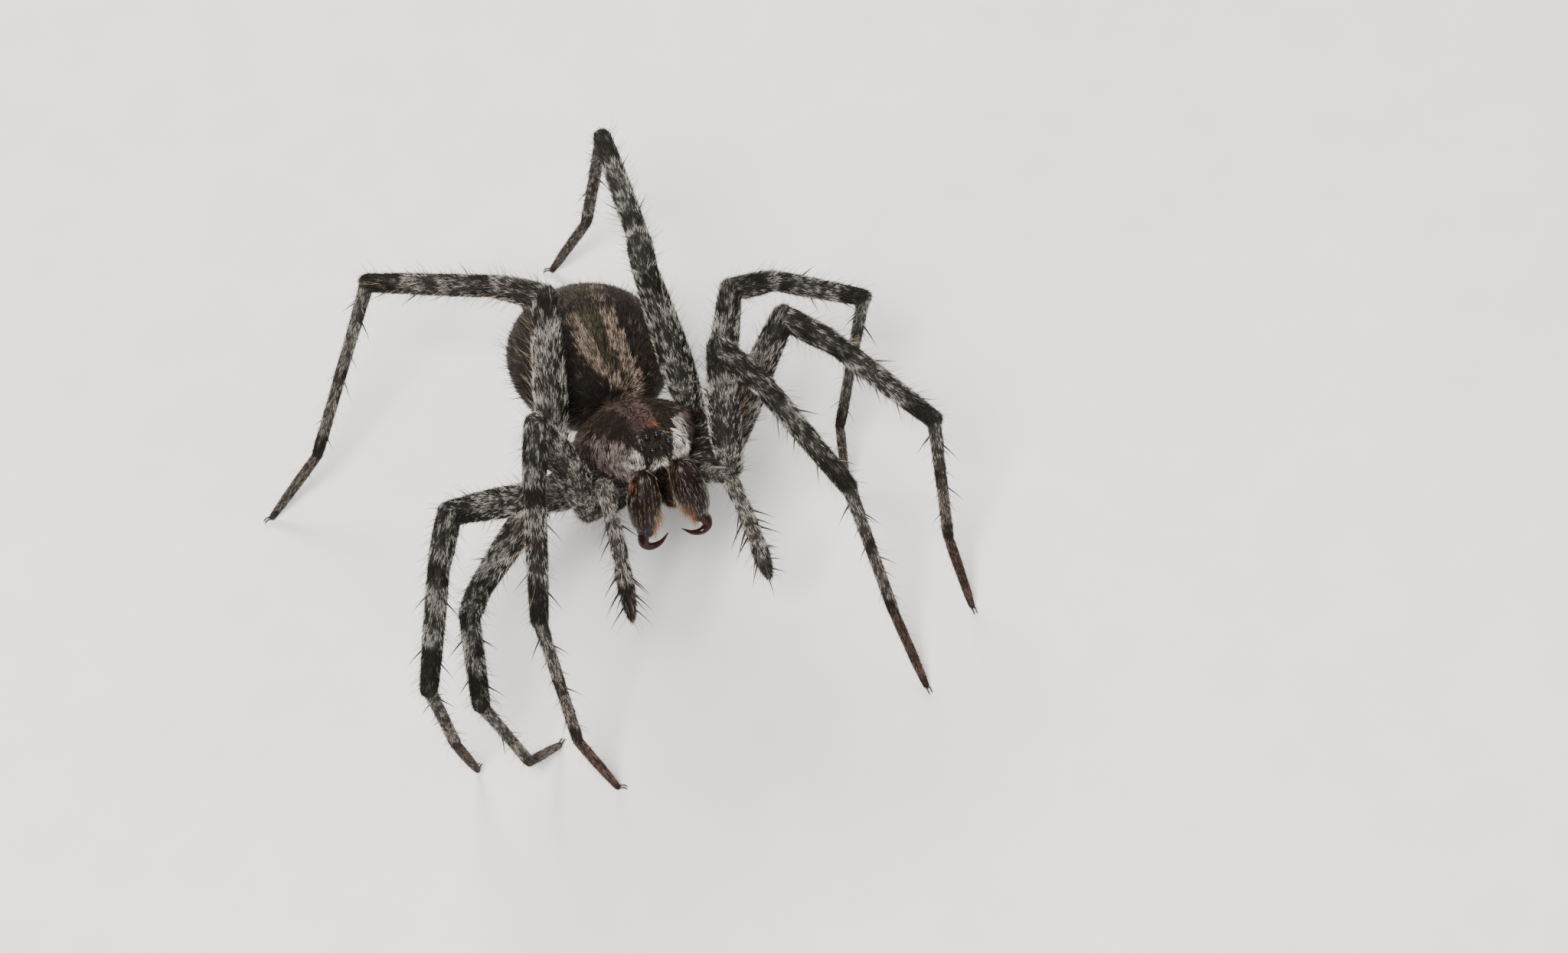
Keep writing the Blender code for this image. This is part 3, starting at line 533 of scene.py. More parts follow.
def domed(points, radii):
    """The same line with a rounded end at both ends."""
    head, tail = [], []
    ahead = (points[0] - points[1]).normalized() * radii[0]
    behind = (points[-1] - points[-2]).normalized() * radii[-1]
    for step in range(1, DOME_STEPS):
        turn = math.pi / 2 * step / DOME_STEPS
        head.append((points[0] + ahead * math.sin(turn), radii[0] * math.cos(turn)))
        tail.append((points[-1] + behind * math.sin(turn), radii[-1] * math.cos(turn)))
    line = head[::-1] + list(zip(points, radii)) + tail
    return [point for point, radius in line], [radius for point, radius in line]


def loft(work, points, radii, sides):
    """Adds one closed tube through points to a bmesh."""
    ways = [(points[min(i + 1, len(points) - 1)] - points[max(i - 1, 0)]).normalized()
            for i in range(len(points))]
    edge = ways[0].orthogonal().normalized()
    rings = []
    for index, (point, radius) in enumerate(zip(points, radii)):
        if index:
            edge = ways[index - 1].rotation_difference(ways[index]) @ edge
        other = ways[index].cross(edge)
        ring = []
        for step in range(sides):
            turn = 2 * math.pi * step / sides
            ring.append(work.verts.new(point + (edge * math.cos(turn) + other * math.sin(turn)) * radius))
        rings.append(ring)
    for low, high in zip(rings, rings[1:]):
        for step in range(sides):
            after = (step + 1) % sides
            work.faces.new((low[step], low[after], high[after], high[step]))
    work.faces.new(rings[0][::-1])
    work.faces.new(rings[-1])


def capsule(work, points, radii, sides=20):
    """Adds one closed tube with rounded ends to a bmesh."""
    loft(work, *domed(points, radii), sides)


def limb_length(work, a, b, rule, girth=1.0, arch=0.0):
    """Adds one length of a limb, arched away from the floor where asked."""
    run = b - a
    flat = run.cross(Vector((0, 0, 1)))
    rise = flat.cross(run).normalized() if flat.length > 0.05 * run.length else Vector((0, 0, 0))
    height = rise * (arch * run.length)
    shares = [step / LIMB_STEPS for step in range(LIMB_STEPS + 1)]
    points = [a + run * share + height * math.sin(math.pi * share) for share in shares]
    capsule(work, points, [profile(rule, share) * girth for share in shares])


def rounded_form(work, rings, place):
    """Adds a sphere with its poles fore and aft, each point moved by a rule."""
    turn = Matrix.Rotation(math.radians(90), 4, "X")
    made = bmesh.ops.create_uvsphere(work, u_segments=BODY_SEGMENTS, v_segments=rings, radius=1.0,
                                     matrix=turn)
    for vert in made["verts"]:
        vert.co = place(vert.co)


def plain(name, work):
    """An object from a bmesh in millimetres, smooth and with its faces outwards."""
    bmesh.ops.recalc_face_normals(work, faces=work.faces)
    mesh = bpy.data.meshes.new(name)
    work.to_mesh(mesh)
    work.free()
    mesh.shade_smooth()
    return link(name, mesh)


def as_modified(made):
    """An object with the mesh that its modifiers make, in place of its own."""
    rough = made.data
    made.data = bpy.data.meshes.new_from_object(made.evaluated_get(bpy.context.evaluated_depsgraph_get()))
    made.modifiers.clear()
    bpy.data.meshes.remove(rough)
    return made


def fused(name, work, voxel):
    """One closed smooth skin around all the closed forms in a bmesh, in millimetres."""
    made = plain(name, work)
    skin = made.modifiers.new("skin", "REMESH")
    skin.mode = "VOXEL"
    skin.voxel_size = voxel
    skin.use_smooth_shade = True
    soften = made.modifiers.new("soften", "SMOOTH")
    soften.factor = 0.5
    soften.iterations = 5
    return as_modified(made)


def spots(mesh):
    """The points of a mesh as rows of numbers."""
    values = np.empty(len(mesh.vertices) * 3)
    mesh.vertices.foreach_get("co", values)
    return values.reshape(-1, 3)


def keep(mesh, name, values):
    """Keeps a number, a vector or a colour at each point of a mesh."""
    kind = KEPT_AS.get(name, "FLOAT")
    field = {"FLOAT": "value", "FLOAT_VECTOR": "vector", "FLOAT_COLOR": "color"}[kind]
    if kind == "FLOAT_COLOR":
        values = np.hstack([values, np.ones((len(values), 1))])
    made = mesh.attributes.new(name, kind, "POINT")
    made.data.foreach_set(field, np.ascontiguousarray(values, dtype=np.float32).ravel())


def dress(piece, colours, pale, combs, length, unwrap, **shares):
    """Gives a skin what its finish and its hair read, and how much of each kind of hair grows where."""
    keep(piece.data, "marking", np.clip(colours, 0, 1))
    keep(piece.data, "pale", np.clip(pale, 0.03, 1))
    keep(piece.data, "comb", combs)
    keep(piece.data, "fur_length", length)
    keep(piece.data, "unwrap", unwrap)
    for name, share in shares.items():
        keep(piece.data, "grows_" + name, share)
    piece.data.transform(Matrix.Scale(MM, 4))


def settle(piece, look, slot_name, *nodes):
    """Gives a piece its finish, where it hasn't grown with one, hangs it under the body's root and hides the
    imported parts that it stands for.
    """
    if look:
        piece.data.materials.clear()
        piece.data.materials.append(look)
    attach(piece, "root")
    if nodes:
        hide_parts(*nodes)


def drift(places, scale, seed):
    """Smooth noise from -1 to 1 at each place."""
    shift = Vector((seed, 2 * seed, 3 * seed))
    return np.array([noise.noise(Vector(place) * scale + shift) for place in places])


def ramp(values, low, high):
    """A smooth step from 0 at low to 1 at high."""
    share = np.clip((values - low) / (high - low), 0, 1)
    return share * share * (3 - 2 * share)


def blend(first, second, weight):
    """Colours mixed point by point."""
    weight = np.clip(weight, 0, 1)[:, None]
    return np.asarray(first) * (1 - weight) + np.asarray(second) * weight


def layer(colours, pale, weight, colour, share):
    """Lays a patch over a marking: its colour, and its share of pale hairs."""
    return blend(colours, colour, weight), pale * (1 - weight) + share * weight


def along_chain(places, chain):
    """For each place: the nearest length of a chain, the share along it, and the way out from its line."""
    nearest = np.full(len(places), 1e9)
    index = np.zeros(len(places), int)
    share = np.zeros(len(places))
    out = np.zeros((len(places), 3))
    for k, (a, b) in enumerate(zip(chain, chain[1:])):
        start, run = np.array(a), np.array(b - a)
        along = np.clip((places - start) @ run / (run @ run), 0, 1)
        away = places - start - along[:, None] * run
        far = np.linalg.norm(away, axis=1)
        closer = far < nearest
        nearest[closer] = far[closer]
        index[closer] = k
        share[closer] = along[closer]
        out[closer] = away[closer]
    return index, share, out / np.maximum(nearest, 1e-6)[:, None]


def laid_flat(around, along):
    """Places in the unwrap, from the turn round a form and the share of its length."""
    across = UNWRAP_EDGE + UNWRAP_SPAN * (around / (2 * np.pi) + 0.5)
    return np.stack([across, UNWRAP_EDGE + UNWRAP_SPAN * along, 0 * along], axis=1)


def limb_unwrap(chain, index, share, out):
    """Where each point of a limb lies when its skin is slit along one side and laid flat."""
    lengths = np.array([(b - a).length for a, b in zip(chain, chain[1:])])
    starts = np.concatenate([[0], np.cumsum(lengths)[:-1]])
    along = (starts[index] + share * lengths[index]) / lengths.sum()
    around = np.zeros(len(index))
    for k, (a, b) in enumerate(zip(chain, chain[1:])):
        way = (b - a).normalized()
        side = way.orthogonal().normalized()
        mine = index == k
        around[mine] = np.arctan2(out[mine] @ np.array(side), out[mine] @ np.array(way.cross(side)))
    return laid_flat(around, along)


def limb_places(piece, chain):
    """For each point of a limb: its place, length, share, way out, comb towards the tip, and unwrap."""
    places = spots(piece.data)
    index, share, out = along_chain(places, chain)
    ways = np.array([(b - a).normalized()[:] for a, b in zip(chain, chain[1:])])
    return places, index, share, out, ways[index], limb_unwrap(chain, index, share, out)


# Node trees and finishes.

def add_node(tree, kind, inputs=None, **settings):
    """Adds a node, sets its options, and sets or links its inputs by name or number."""
    made = tree.nodes.new(kind)
    for name, value in settings.items():
        setattr(made, name, value)
    for name, value in (inputs or {}).items():
        if isinstance(value, bpy.types.NodeSocket):
            tree.links.new(value, made.inputs[name])
        else:
            made.inputs[name].default_value = value
    return made


def math_node(tree, operation, a, b=0.0):
    """A sum, product or the like of two numbers."""
    return add_node(tree, "ShaderNodeMath", {0: a, 1: b}, operation=operation).outputs[0]


def vector_node(tree, operation, a, b=None):
    """A sum, product or the like of two vectors."""
    inputs = {0: a} if b is None else {0: a, 1: b}
    return add_node(tree, "ShaderNodeVectorMath", inputs, operation=operation).outputs[0]


def scaled(tree, vector, number):
    """A vector made longer or shorter."""
    inputs = {"Vector": vector, "Scale": number}
    return add_node(tree, "ShaderNodeVectorMath", inputs, operation="SCALE").outputs[0]


def drawn(tree, low, high, seed):
    """A random number for each point."""
    inputs = {2: low, 3: high, "Seed": seed}
    return add_node(tree, "FunctionNodeRandomValue", inputs, data_type="FLOAT").outputs[1]


def mixed(tree, weight, first, second):
    """The first colour at weight 0 and the second at 1."""
    made = add_node(tree, "ShaderNodeMix", {0: weight, 6: first, 7: second}, data_type="RGBA")
    return made.outputs[2]


def named(tree, name):
    """What a mesh keeps at its points under a name, or the number under the name that a socket gives."""
    kind = KEPT_AS.get(name, "FLOAT")
    return add_node(tree, "GeometryNodeInputNamedAttribute", {"Name": name}, data_type=kind).outputs[0]


def kept(tree, geometry, name, kind, domain, value):
    """Keeps a value on a geometry under a name."""
    inputs = {"Geometry": geometry, "Name": name, "Value": value}
    store = add_node(tree, "GeometryNodeStoreNamedAttribute", inputs, data_type=kind, domain=domain)
    return store.outputs[0]


def new_tree(name, kind, given, results):
    """A node tree with named inputs and outputs, and the sockets that its inputs give."""
    tree = bpy.data.node_groups.new(name, kind)
    for label, socket_kind, value in given:
        socket = tree.interface.new_socket(label, in_out="INPUT", socket_type="NodeSocket" + socket_kind)
        if value is not None:
            socket.default_value = value
    for label, socket_kind in results:
        tree.interface.new_socket(label, in_out="OUTPUT", socket_type="NodeSocket" + socket_kind)
    return tree, tree.nodes.new("NodeGroupInput").outputs


def bristle(tree, given, sides):
    """One tapered, bent hair along +Z, which keeps its own small patch for the unwrap."""
    inputs = {"Vertices": sides, "Side Segments": given["Rings"], "Radius Top": 0.0,
              "Radius Bottom": given["Thickness"], "Depth": given["Length"]}
    cone = add_node(tree, "GeometryNodeMeshCone", inputs).outputs["Mesh"]
    place = tree.nodes.new("GeometryNodeInputPosition").outputs[0]
    parts = add_node(tree, "ShaderNodeSeparateXYZ", {0: place}).outputs
    across = math_node(tree, "DIVIDE", parts[0], given["Thickness"])
    up = math_node(tree, "DIVIDE", parts[2], given["Length"])
    patch = add_node(tree, "ShaderNodeCombineXYZ", {0: across, 1: up}).outputs[0]
    cone = kept(tree, cone, "patch", "FLOAT_VECTOR", "POINT", scaled(tree, patch, UNWRAP_PATCH))
    lean = math_node(tree, "MULTIPLY", math_node(tree, "MULTIPLY", up, up), given["Bend"])
    lean = math_node(tree, "MULTIPLY", lean, given["Length"])
    shift = add_node(tree, "ShaderNodeCombineXYZ", {0: math_node(tree, "MULTIPLY", lean, -1.0)}).outputs[0]
    return add_node(tree, "GeometryNodeSetPosition", {"Geometry": cone, "Offset": shift}).outputs[0]


def planted(tree, given, points, hair, way, normal, size):
    """Stands a hair on each point, lays out its unwrap and ends the tree."""
    turn = add_node(tree, "FunctionNodeAlignRotationToVector", {"Vector": way}, axis="Z").outputs[0]
    turn = add_node(tree, "FunctionNodeAlignRotationToVector", {"Rotation": turn, "Vector": normal},
                    axis="X", pivot_axis="Z").outputs[0]
    stood = add_node(tree, "GeometryNodeInstanceOnPoints",
                     {"Points": points, "Instance": hair, "Rotation": turn, "Scale": size}).outputs[0]
    solid = add_node(tree, "GeometryNodeRealizeInstances", {"Geometry": stood}).outputs[0]
    root, patch = named(tree, "unwrap"), named(tree, "patch")
    solid = kept(tree, solid, "OFBake", "FLOAT2", "CORNER", vector_node(tree, "ADD", root, patch))
    solid = add_node(tree, "GeometryNodeSetShadeSmooth", {"Geometry": solid}).outputs[0]
    coated = add_node(tree, "GeometryNodeSetMaterial", {"Geometry": solid, "Material": given["Finish"]})
    add_node(tree, "NodeGroupOutput", {0: coated.outputs[0]})
    return tree


def coat_tree():
    """Hair over a skin: its density, lie, length and colour follow what the skin keeps at its points."""
    tree, given = new_tree("hair_coat", "GeometryNodeTree", (
        ("Geometry", "Geometry", None), ("Where", "String", "grows_coat"), ("Density", "Float", 100.0),
        ("Length", "Float", 0.4), ("Thickness", "Float", 0.016), ("Lift", "Float", 0.5),
        ("Stray", "Float", 0.2), ("Bend", "Float", 0.2), ("Rings", "Int", 1),
        ("Dark", "Color", (0.02, 0.015, 0.01, 1.0)), ("Pale", "Color", (1.0, 1.0, 1.0, 1.0)),
        ("Own", "Float", 1.0), ("Seed", "Int", 1), ("Finish", "Material", None)),
        (("Geometry", "Geometry"),))
    seed = given["Seed"]
    density = math_node(tree, "MULTIPLY", named(tree, given["Where"]), given["Density"])
    scatter = add_node(tree, "GeometryNodeDistributePointsOnFaces",
                       {"Mesh": given["Geometry"], "Density": density, "Seed": seed})
    points, normal = scatter.outputs["Points"], scatter.outputs["Normal"]
    lift = math_node(tree, "ADD", given["Lift"], drawn(tree, -LIFT_VARIES, LIFT_VARIES, seed))
    up = scaled(tree, normal, math_node(tree, "SINE", lift))
    comb = named(tree, "comb")
    sunk = vector_node(tree, "PROJECT", comb, normal)
    flat = vector_node(tree, "NORMALIZE", vector_node(tree, "SUBTRACT", comb, sunk))
    flat = scaled(tree, flat, math_node(tree, "COSINE", lift))
    wild = add_node(tree, "FunctionNodeRandomValue", {0: (-1, -1, -1), 1: (1, 1, 1), "Seed": seed},
                    data_type="FLOAT_VECTOR").outputs[0]
    way = vector_node(tree, "ADD", vector_node(tree, "ADD", up, flat), scaled(tree, wild, given["Stray"]))
    way = vector_node(tree, "NORMALIZE", way)
    own = mixed(tree, given["Own"], given["Pale"], named(tree, "marking"))
    all_one = math_node(tree, "SUBTRACT", 1.0, given["Own"])
    share = math_node(tree, "MAXIMUM", named(tree, "pale"), all_one)
    picked = math_node(tree, "LESS_THAN", drawn(tree, 0.0, 1.0, math_node(tree, "ADD", seed, 5.0)), share)
    light = drawn(tree, *HAIR_LIGHT, math_node(tree, "ADD", seed, 9.0))
    colour = scaled(tree, mixed(tree, picked, given["Dark"], own), light)
    points = kept(tree, points, "hair_colour", "FLOAT_COLOR", "POINT", colour)
    size = math_node(tree, "MULTIPLY", named(tree, "fur_length"), drawn(tree, *HAIR_SIZES, seed))
    return planted(tree, given, points, bristle(tree, given, 3), way, normal, size)


def spine_tree():
    """A stout spine on each point of a mesh, along the way and at the size that the point keeps."""
    tree, given = new_tree("stout_spines", "GeometryNodeTree", (
        ("Geometry", "Geometry", None), ("Length", "Float", 1.0), ("Thickness", "Float", 0.05),
        ("Bend", "Float", 0.1), ("Rings", "Int", 6), ("Finish", "Material", None)),
        (("Geometry", "Geometry"),))
    points = add_node(tree, "GeometryNodeMeshToPoints", {"Mesh": given["Geometry"]}).outputs[0]
    way, normal = named(tree, "comb"), named(tree, "outward")
    size = named(tree, "fur_length")
    return planted(tree, given, points, bristle(tree, given, 7), way, normal, size)


def tree_named(name):
    """One of the trees, made the first time it is asked for."""
    makers = {"hair_coat": coat_tree, "stout_spines": spine_tree}
    return bpy.data.node_groups.get(name) or makers[name]()


def grow(name, ground, tree, values):
    """A plain mesh of what a tree grows on a mesh, which is brought to millimetres for it."""
    made = link(name, ground.copy())
    made.data.transform(Matrix.Scale(1 / MM, 4))
    growth = made.modifiers.new("growth", "NODES")
    growth.node_group = tree_named(tree)
    for item in growth.node_group.interface.items_tree:
        if item.in_out == "INPUT" and item.name in values:
            growth[item.identifier] = values[item.name]
    as_modified(made)
    for label in made.data.attributes.keys():
        if label in GROWTH_ONLY or label.startswith("grows_"):
            made.data.attributes.remove(made.data.attributes[label])
    made.data.transform(Matrix.Scale(MM, 4))
    if not made.data.polygons:
        raise RuntimeError(name + " has no hairs")
    return made


def grain_group():
    """Fine cuticle grain: a colour that drifts a little, and a height for its bumps."""
    found = bpy.data.node_groups.get("cuticle_grain")
    if found:
        return found
    tree, given = new_tree("cuticle_grain", "ShaderNodeTree", (
        ("Colour", "Color", (0.5, 0.5, 0.5, 1)), ("Scale", "Float", 9000.0), ("Drift", "Float", 0.4),
        ("Tone", "Float", 1.0)), (("Colour", "Color"), ("Height", "Float")))
    place = tree.nodes.new("ShaderNodeTexCoord").outputs["Object"]
    cells = add_node(tree, "ShaderNodeTexVoronoi", {"Vector": place, "Scale": given["Scale"]})
    broad = math_node(tree, "MULTIPLY", given["Scale"], 0.12)
    cloud = add_node(tree, "ShaderNodeTexNoise", {"Vector": place, "Scale": broad, "Detail": 5.0})
    pits = math_node(tree, "MULTIPLY", cells.outputs["Distance"], 0.6)
    both = math_node(tree, "ADD", pits, cloud.outputs["Fac"])
    factor = math_node(tree, "MULTIPLY", math_node(tree, "SUBTRACT", both, 0.75), given["Drift"])
    factor = math_node(tree, "ADD", math_node(tree, "MULTIPLY", factor, 2.0), 1.0)
    colour = scaled(tree, given["Colour"], math_node(tree, "MULTIPLY", factor, given["Tone"]))
    add_node(tree, "NodeGroupOutput", {"Colour": colour, "Height": both})
    return tree


def finish(name, colour=None):
    """A finish with cuticle grain, from one colour or from what the mesh keeps at its points."""
    found = bpy.data.materials.get(name)
    if found:
        return found
    source, grain_inputs, bump, shine = FINISHES[name]
    made = bpy.data.materials.new(name)
    made.use_nodes = True
    tree = made.node_tree
    shader = tree.nodes["Principled BSDF"].inputs
    if source:
        colour = add_node(tree, "ShaderNodeAttribute", attribute_name=source).outputs["Color"]
    else:
        colour = (*colour, 1.0)
    inputs = {**grain_inputs, "Colour": colour}
    grain = add_node(tree, "ShaderNodeGroup", inputs, node_tree=grain_group()).outputs
    tree.links.new(grain["Colour"], shader["Base Color"])
    if bump:
        inputs = {"Distance": BUMP_DEPTH, **bump, "Height": grain["Height"]}
        tree.links.new(add_node(tree, "ShaderNodeBump", inputs).outputs["Normal"], shader["Normal"])
    for label, value in shine.items():
        shader[label].default_value = value
    return made


# Operators: one for each piece or group of like pieces.

class SPIDER_OT_body(bpy.types.Operator):
    """Makes the skin of the carapace, sternum, mouth parts, pedicel and abdomen as one piece"""

    bl_idname = "spider.body"
    bl_label = "Body skin"

    def execute(self, context):
        settings = context.scene.spider
        work = bmesh.new()
        rounded_form(work, CARAPACE_RINGS, carapace_place)
        rounded_form(work, ABDOMEN_RINGS, abdomen_place)
        capsule(work, [Vector(end) for end in PEDICEL_ENDS], [PEDICEL_RADIUS] * 2)
        capsule(work, [Vector(end) for end in LABIUM_ENDS], [LABIUM_RADIUS] * 2)
        for side in SIDES:
            capsule(work, [mirrored(end, side) for end in MAXILLA_ENDS], [MAXILLA_RADIUS] * 2)
        piece = fused("body_skin", work, settings.voxel / MM)
        shape_carapace(piece.data)
        local = spots(piece.data)
        stand = body_matrix()
        piece.data.transform(stand)
        abdomen, clear = abdomen_share(local), clear_of_eyes(local, *EYE_BARE)
        dress(piece, *body_marks(local, np.array(stand.to_3x3()), settings), abdomen=abdomen,
              carapace=(1 - abdomen) * clear, fine=abdomen + 0.3 * (1 - abdomen) * clear)
        settle(piece, finish("cuticle"), "abdomen", "cephalothorax", "abdomen", "pedicel")
        return {"FINISHED"}


def bell(off, half_width):
    """1 at a middle, and less and less away from it."""
    return math.exp(-(off / half_width) ** 2)


def shape_carapace(mesh):
    """Presses the fovea and the furrows that run out from it into the carapace."""
    for vert in mesh.vertices:
        x, y, z = vert.co
        if y > 3.0 or z < 0.3:
            continue
        groove = FOVEA_DEPTH * bell(x, FOVEA_HALF_WIDTH) * bell(y - FOVEA_AT, FOVEA_REACH)
        far = bell(math.hypot(x, y - FURROW_START) - FURROW_MIDDLE, FURROW_REACH)
        turn = math.degrees(math.atan2(abs(x), FURROW_START - y))
        for furrow in FURROWS:
            groove += FURROW_DEPTH * bell(turn - furrow, FURROW_HALF_WIDTH) * far
        vert.co.z = z - groove


def on_abdomen(local):
    """Places in the body frame as millimetres across, along and above the abdomen's axis."""
    from_front = local - np.array(ABDOMEN_FRONT)
    return [from_front @ np.array(axis) for axis in abdomen_axes()]


def abdomen_share(local):
    """1 on the abdomen and 0 on the carapace, from places in the body frame."""
    return ramp(on_abdomen(local)[1], -0.15, 0.15)


def packed_eyes():
    """Name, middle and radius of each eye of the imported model, in millimetres."""
    for name in sorted(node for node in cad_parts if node.startswith("eye_")):
        low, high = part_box(name)
        yield name, (low + high) / 2 / MM, max(high - low) / 2 / MM


def clear_of_eyes(local, near, far):
    """0 at an eye and 1 away from every eye."""
    clear = np.ones(len(local))
    back = body_matrix().inverted()
    for name, middle, radius in packed_eyes():
        clear = clear * ramp(np.linalg.norm(local - np.array(back @ middle), axis=1), near, far)
    return clear


def head_marks(local, settings):
    """Marking and share of pale hairs of the carapace and the sternum."""
    x, y, z = np.abs(local[:, 0]), local[:, 1], local[:, 2]
    cloud, speck, fine = (drift(local, scale, seed) for scale, seed in HEAD_NOISE)
    colours = np.tile(settings.carapace_dark, (len(x), 1))
    pale = 0.14 + 0.45 * fine + 0.2 * speck
    # Towards the rear the middle band gives way to the dark colour: painted shade over the back of the
    # carapace.
    middle = ramp(0.47 + 0.12 * speck - x, -0.06, 0.06) * ramp(y, -2.1, -1.8) * (1 - 0.7 * ramp(y, 0.2, 1.2))
    colours, pale = layer(colours, pale, middle, settings.carapace_middle, 0.8)
    off_spot = np.hypot(local[:, 0] - ORANGE_SPOT[0], 1.2 * (y - ORANGE_SPOT[1]))
    colours = blend(colours, settings.orange, ramp(-off_spot, -0.3, -0.16) * ramp(fine, 0.0, 0.15))
    band = ramp(x - np.interp(y, *CHEEK_LINE) + 0.22 * speck + 0.12 * fine, -0.08, 0.08)
    band = band * ramp(-y, -2.6, -1.6) * ramp(z, -0.9, -0.3)
    cheek = band * (1 - 0.55 * ramp(y, -0.7, 0.3))
    # Painted shade: towards the rear of both sides, and along the spider's right side behind the face, the
    # cream turns to the cheek colour, which is the cream as it looks in shade.
    painted_shade = np.maximum(ramp(x + y, 0.4, 1.3), 0.9 * ramp(-local[:, 0], 0, 0.5) * ramp(y, -2.75, -2.5))
    colours = blend(colours, blend(settings.cream, settings.cheek, painted_shade), cheek)
    pale = pale * (1 - band) + (0.78 - 0.3 * ramp(y, -1.2, 0.2) + 1.3 * fine + 0.6 * speck) * band
    front = ramp(-y, 2.2, 2.6) * ramp(0.78 - z, 0.0, 0.1)
    tuft = np.maximum(ramp(0.34 - x, -0.05, 0.1), ramp(x, 0.62, 0.75)) * ramp(z + 0.25 * speck, -0.2, 0.05)
    colours = blend(colours, settings.cream, front * tuft * ramp(fine + 0.5 * speck, -0.35, 0.1) * 0.85)
    pale = np.maximum(pale, front * (0.35 + 0.55 * tuft))
    off_dab = np.hypot(x - FACE_DAB[0], 0.6 * (y - FACE_DAB[1]))
    dab = ramp(-off_dab, -0.22, -0.12) * ramp(fine, -0.1, 0.1)
    colours, pale = blend(colours, settings.cream, dab), np.maximum(pale, 0.9 * dab)
    eyes = ramp(-y + 0.3 * fine, 2.42, 2.6) * ramp(0.56 - x + 0.25 * fine, 0.0, 0.1) * ramp(z, 0.66, 0.76)
    colours, pale = layer(colours, pale, eyes, EYE_PATCH_HAIR, 0.15)
    colours, pale = layer(colours, pale, ramp(-z, 0.5, 0.9), STERNUM_HAIR, 0.3)
    return colours * (1 + 0.5 * fine + 0.2 * cloud)[:, None], pale


def abdomen_marks(local, settings):
    """Marking and share of pale hairs of the abdomen, whose pattern leans a little to the left."""
    across, along, height = on_abdomen(local)
    share = along / ABDOMEN_LENGTH
    cloud, speck, fine = (drift(local, scale, seed) for scale, seed in ABDOMEN_NOISE)
    side = across - np.interp(share, *PATTERN_LEAN)
    line = np.interp(share, *STRIPE_LINE) + 0.12 * speck
    upper = ramp(height, -0.5, 0.3)
    reach = 0.28 + 0.28 * fine + 0.12 * speck
    stripe = ramp(reach - np.abs(np.abs(side) - line), -0.07, 0.07) * upper
    broken = 1 - ramp(share, 0.33, 0.42) * (0.35 + 0.55 * ramp(np.sin(share * 52), -0.3, 0.4))
    inner = ramp(line - np.abs(side), 0.1, 0.3) * upper
    colours = blend(settings.abdomen_dark, settings.abdomen_middle, inner)
    pale = 0.35 + 0.25 * cloud + 0.3 * fine + inner * (0.2 + 0.6 * fine)
    colours = blend(colours, settings.abdomen_stripe, stripe * broken)
    pale = np.maximum(pale, (0.82 + 1.1 * fine + 0.3 * speck) * stripe * broken)
    dots = ramp(fine + 0.5 * speck, 0.4, 0.6) * ramp(np.abs(side) - line, 0.3, 0.7)
    colours, pale = blend(colours, ABDOMEN_DOTS, 0.6 * dots), np.maximum(pale, 0.6 * dots)
    low = ramp(-height, 0.6, 1.6)
    colours = blend(colours, ABDOMEN_UNDERSIDE, low * (0.6 + 0.4 * cloud))
    return colours * (1 + 0.25 * speck + 0.6 * fine)[:, None], pale


def body_marks(local, turn, settings):
    """Marking, share of pale hairs, comb, length and unwrap of the body, from places in the body frame."""
    side, along, height = on_abdomen(local)
    abdomen = abdomen_share(local)
    rear = abdomen > 0.5
    x, y, z = local[:, 0], local[:, 1], local[:, 2]
    head_colours, head_pale = head_marks(local, settings)
    rear_colours, rear_pale = abdomen_marks(local, settings)
    spread = np.stack([x, y - FOVEA_AT, -0.5 * np.abs(x) - 0.35], axis=1)
    spread /= np.linalg.norm(spread, axis=1)[:, None]
    face = (ramp(-y, 2.4, 2.7) * ramp(0.75 - z, 0, 0.2))[:, None]
    spread = spread * (1 - face) + np.stack([0.3 * np.sign(x), 0 * x - 0.4, 0 * x - 0.9], axis=1) * face
    combs = np.where(rear[:, None], np.array(abdomen_axes()[1]), spread) @ turn.T
    bare = clear_of_eyes(local, *EYE_SHORT)
    length = np.where(rear, 0.44 + 0.3 * ramp(np.abs(side), 1.0, 2.6),
                      (0.42 + 0.22 * head_pale) * (0.6 + 0.4 * bare)
                      + 0.45 * ramp(-y, 2.2, 2.6) * ramp(-z, -0.6, -0.2))
    around = np.where(rear, np.arctan2(side, height), np.arctan2(x, z))
    along = np.where(rear, 0.5 + 0.5 * np.clip(along / ABDOMEN_LENGTH, 0, 1),
                     HEAD_ROOM * np.clip((y + 3.1) / 6.4, 0, 1))
    colours, pale = layer(head_colours, head_pale, abdomen, rear_colours, rear_pale)
    return colours, pale, combs, length, laid_flat(around, along)


class SPIDER_OT_legs(bpy.types.Operator):
    """Makes the skin of each leg, from its coxa to its tarsus"""

    bl_idname = "spider.legs"
    bl_label = "Leg skins"

    def execute(self, context):
        settings = context.scene.spider
        for side, number in STANCE:
            chain = leg_points(side, number)
            girth = LEG_GIRTH[number]
            foot = foot_end(chain)
            work = bmesh.new()
            for k, rule in enumerate(LEG_RADII):
                end = foot if k == 5 else chain[k + 1]
                limb_length(work, chain[k], end, rule, girth, FEMUR_ARCH if k == 1 else 0.0)
            name = "leg_%d_%s" % (number, side)
            piece = fused(name + "_skin", work, settings.voxel / MM)
            dress_limb(piece, chain, number, settings)
            nodes = [name + "_" + part for part in ("femur", "tibia", "metatarsus", "tarsus")]
            settle(piece, finish("cuticle"), "legs", *nodes)
        return {"FINISHED"}


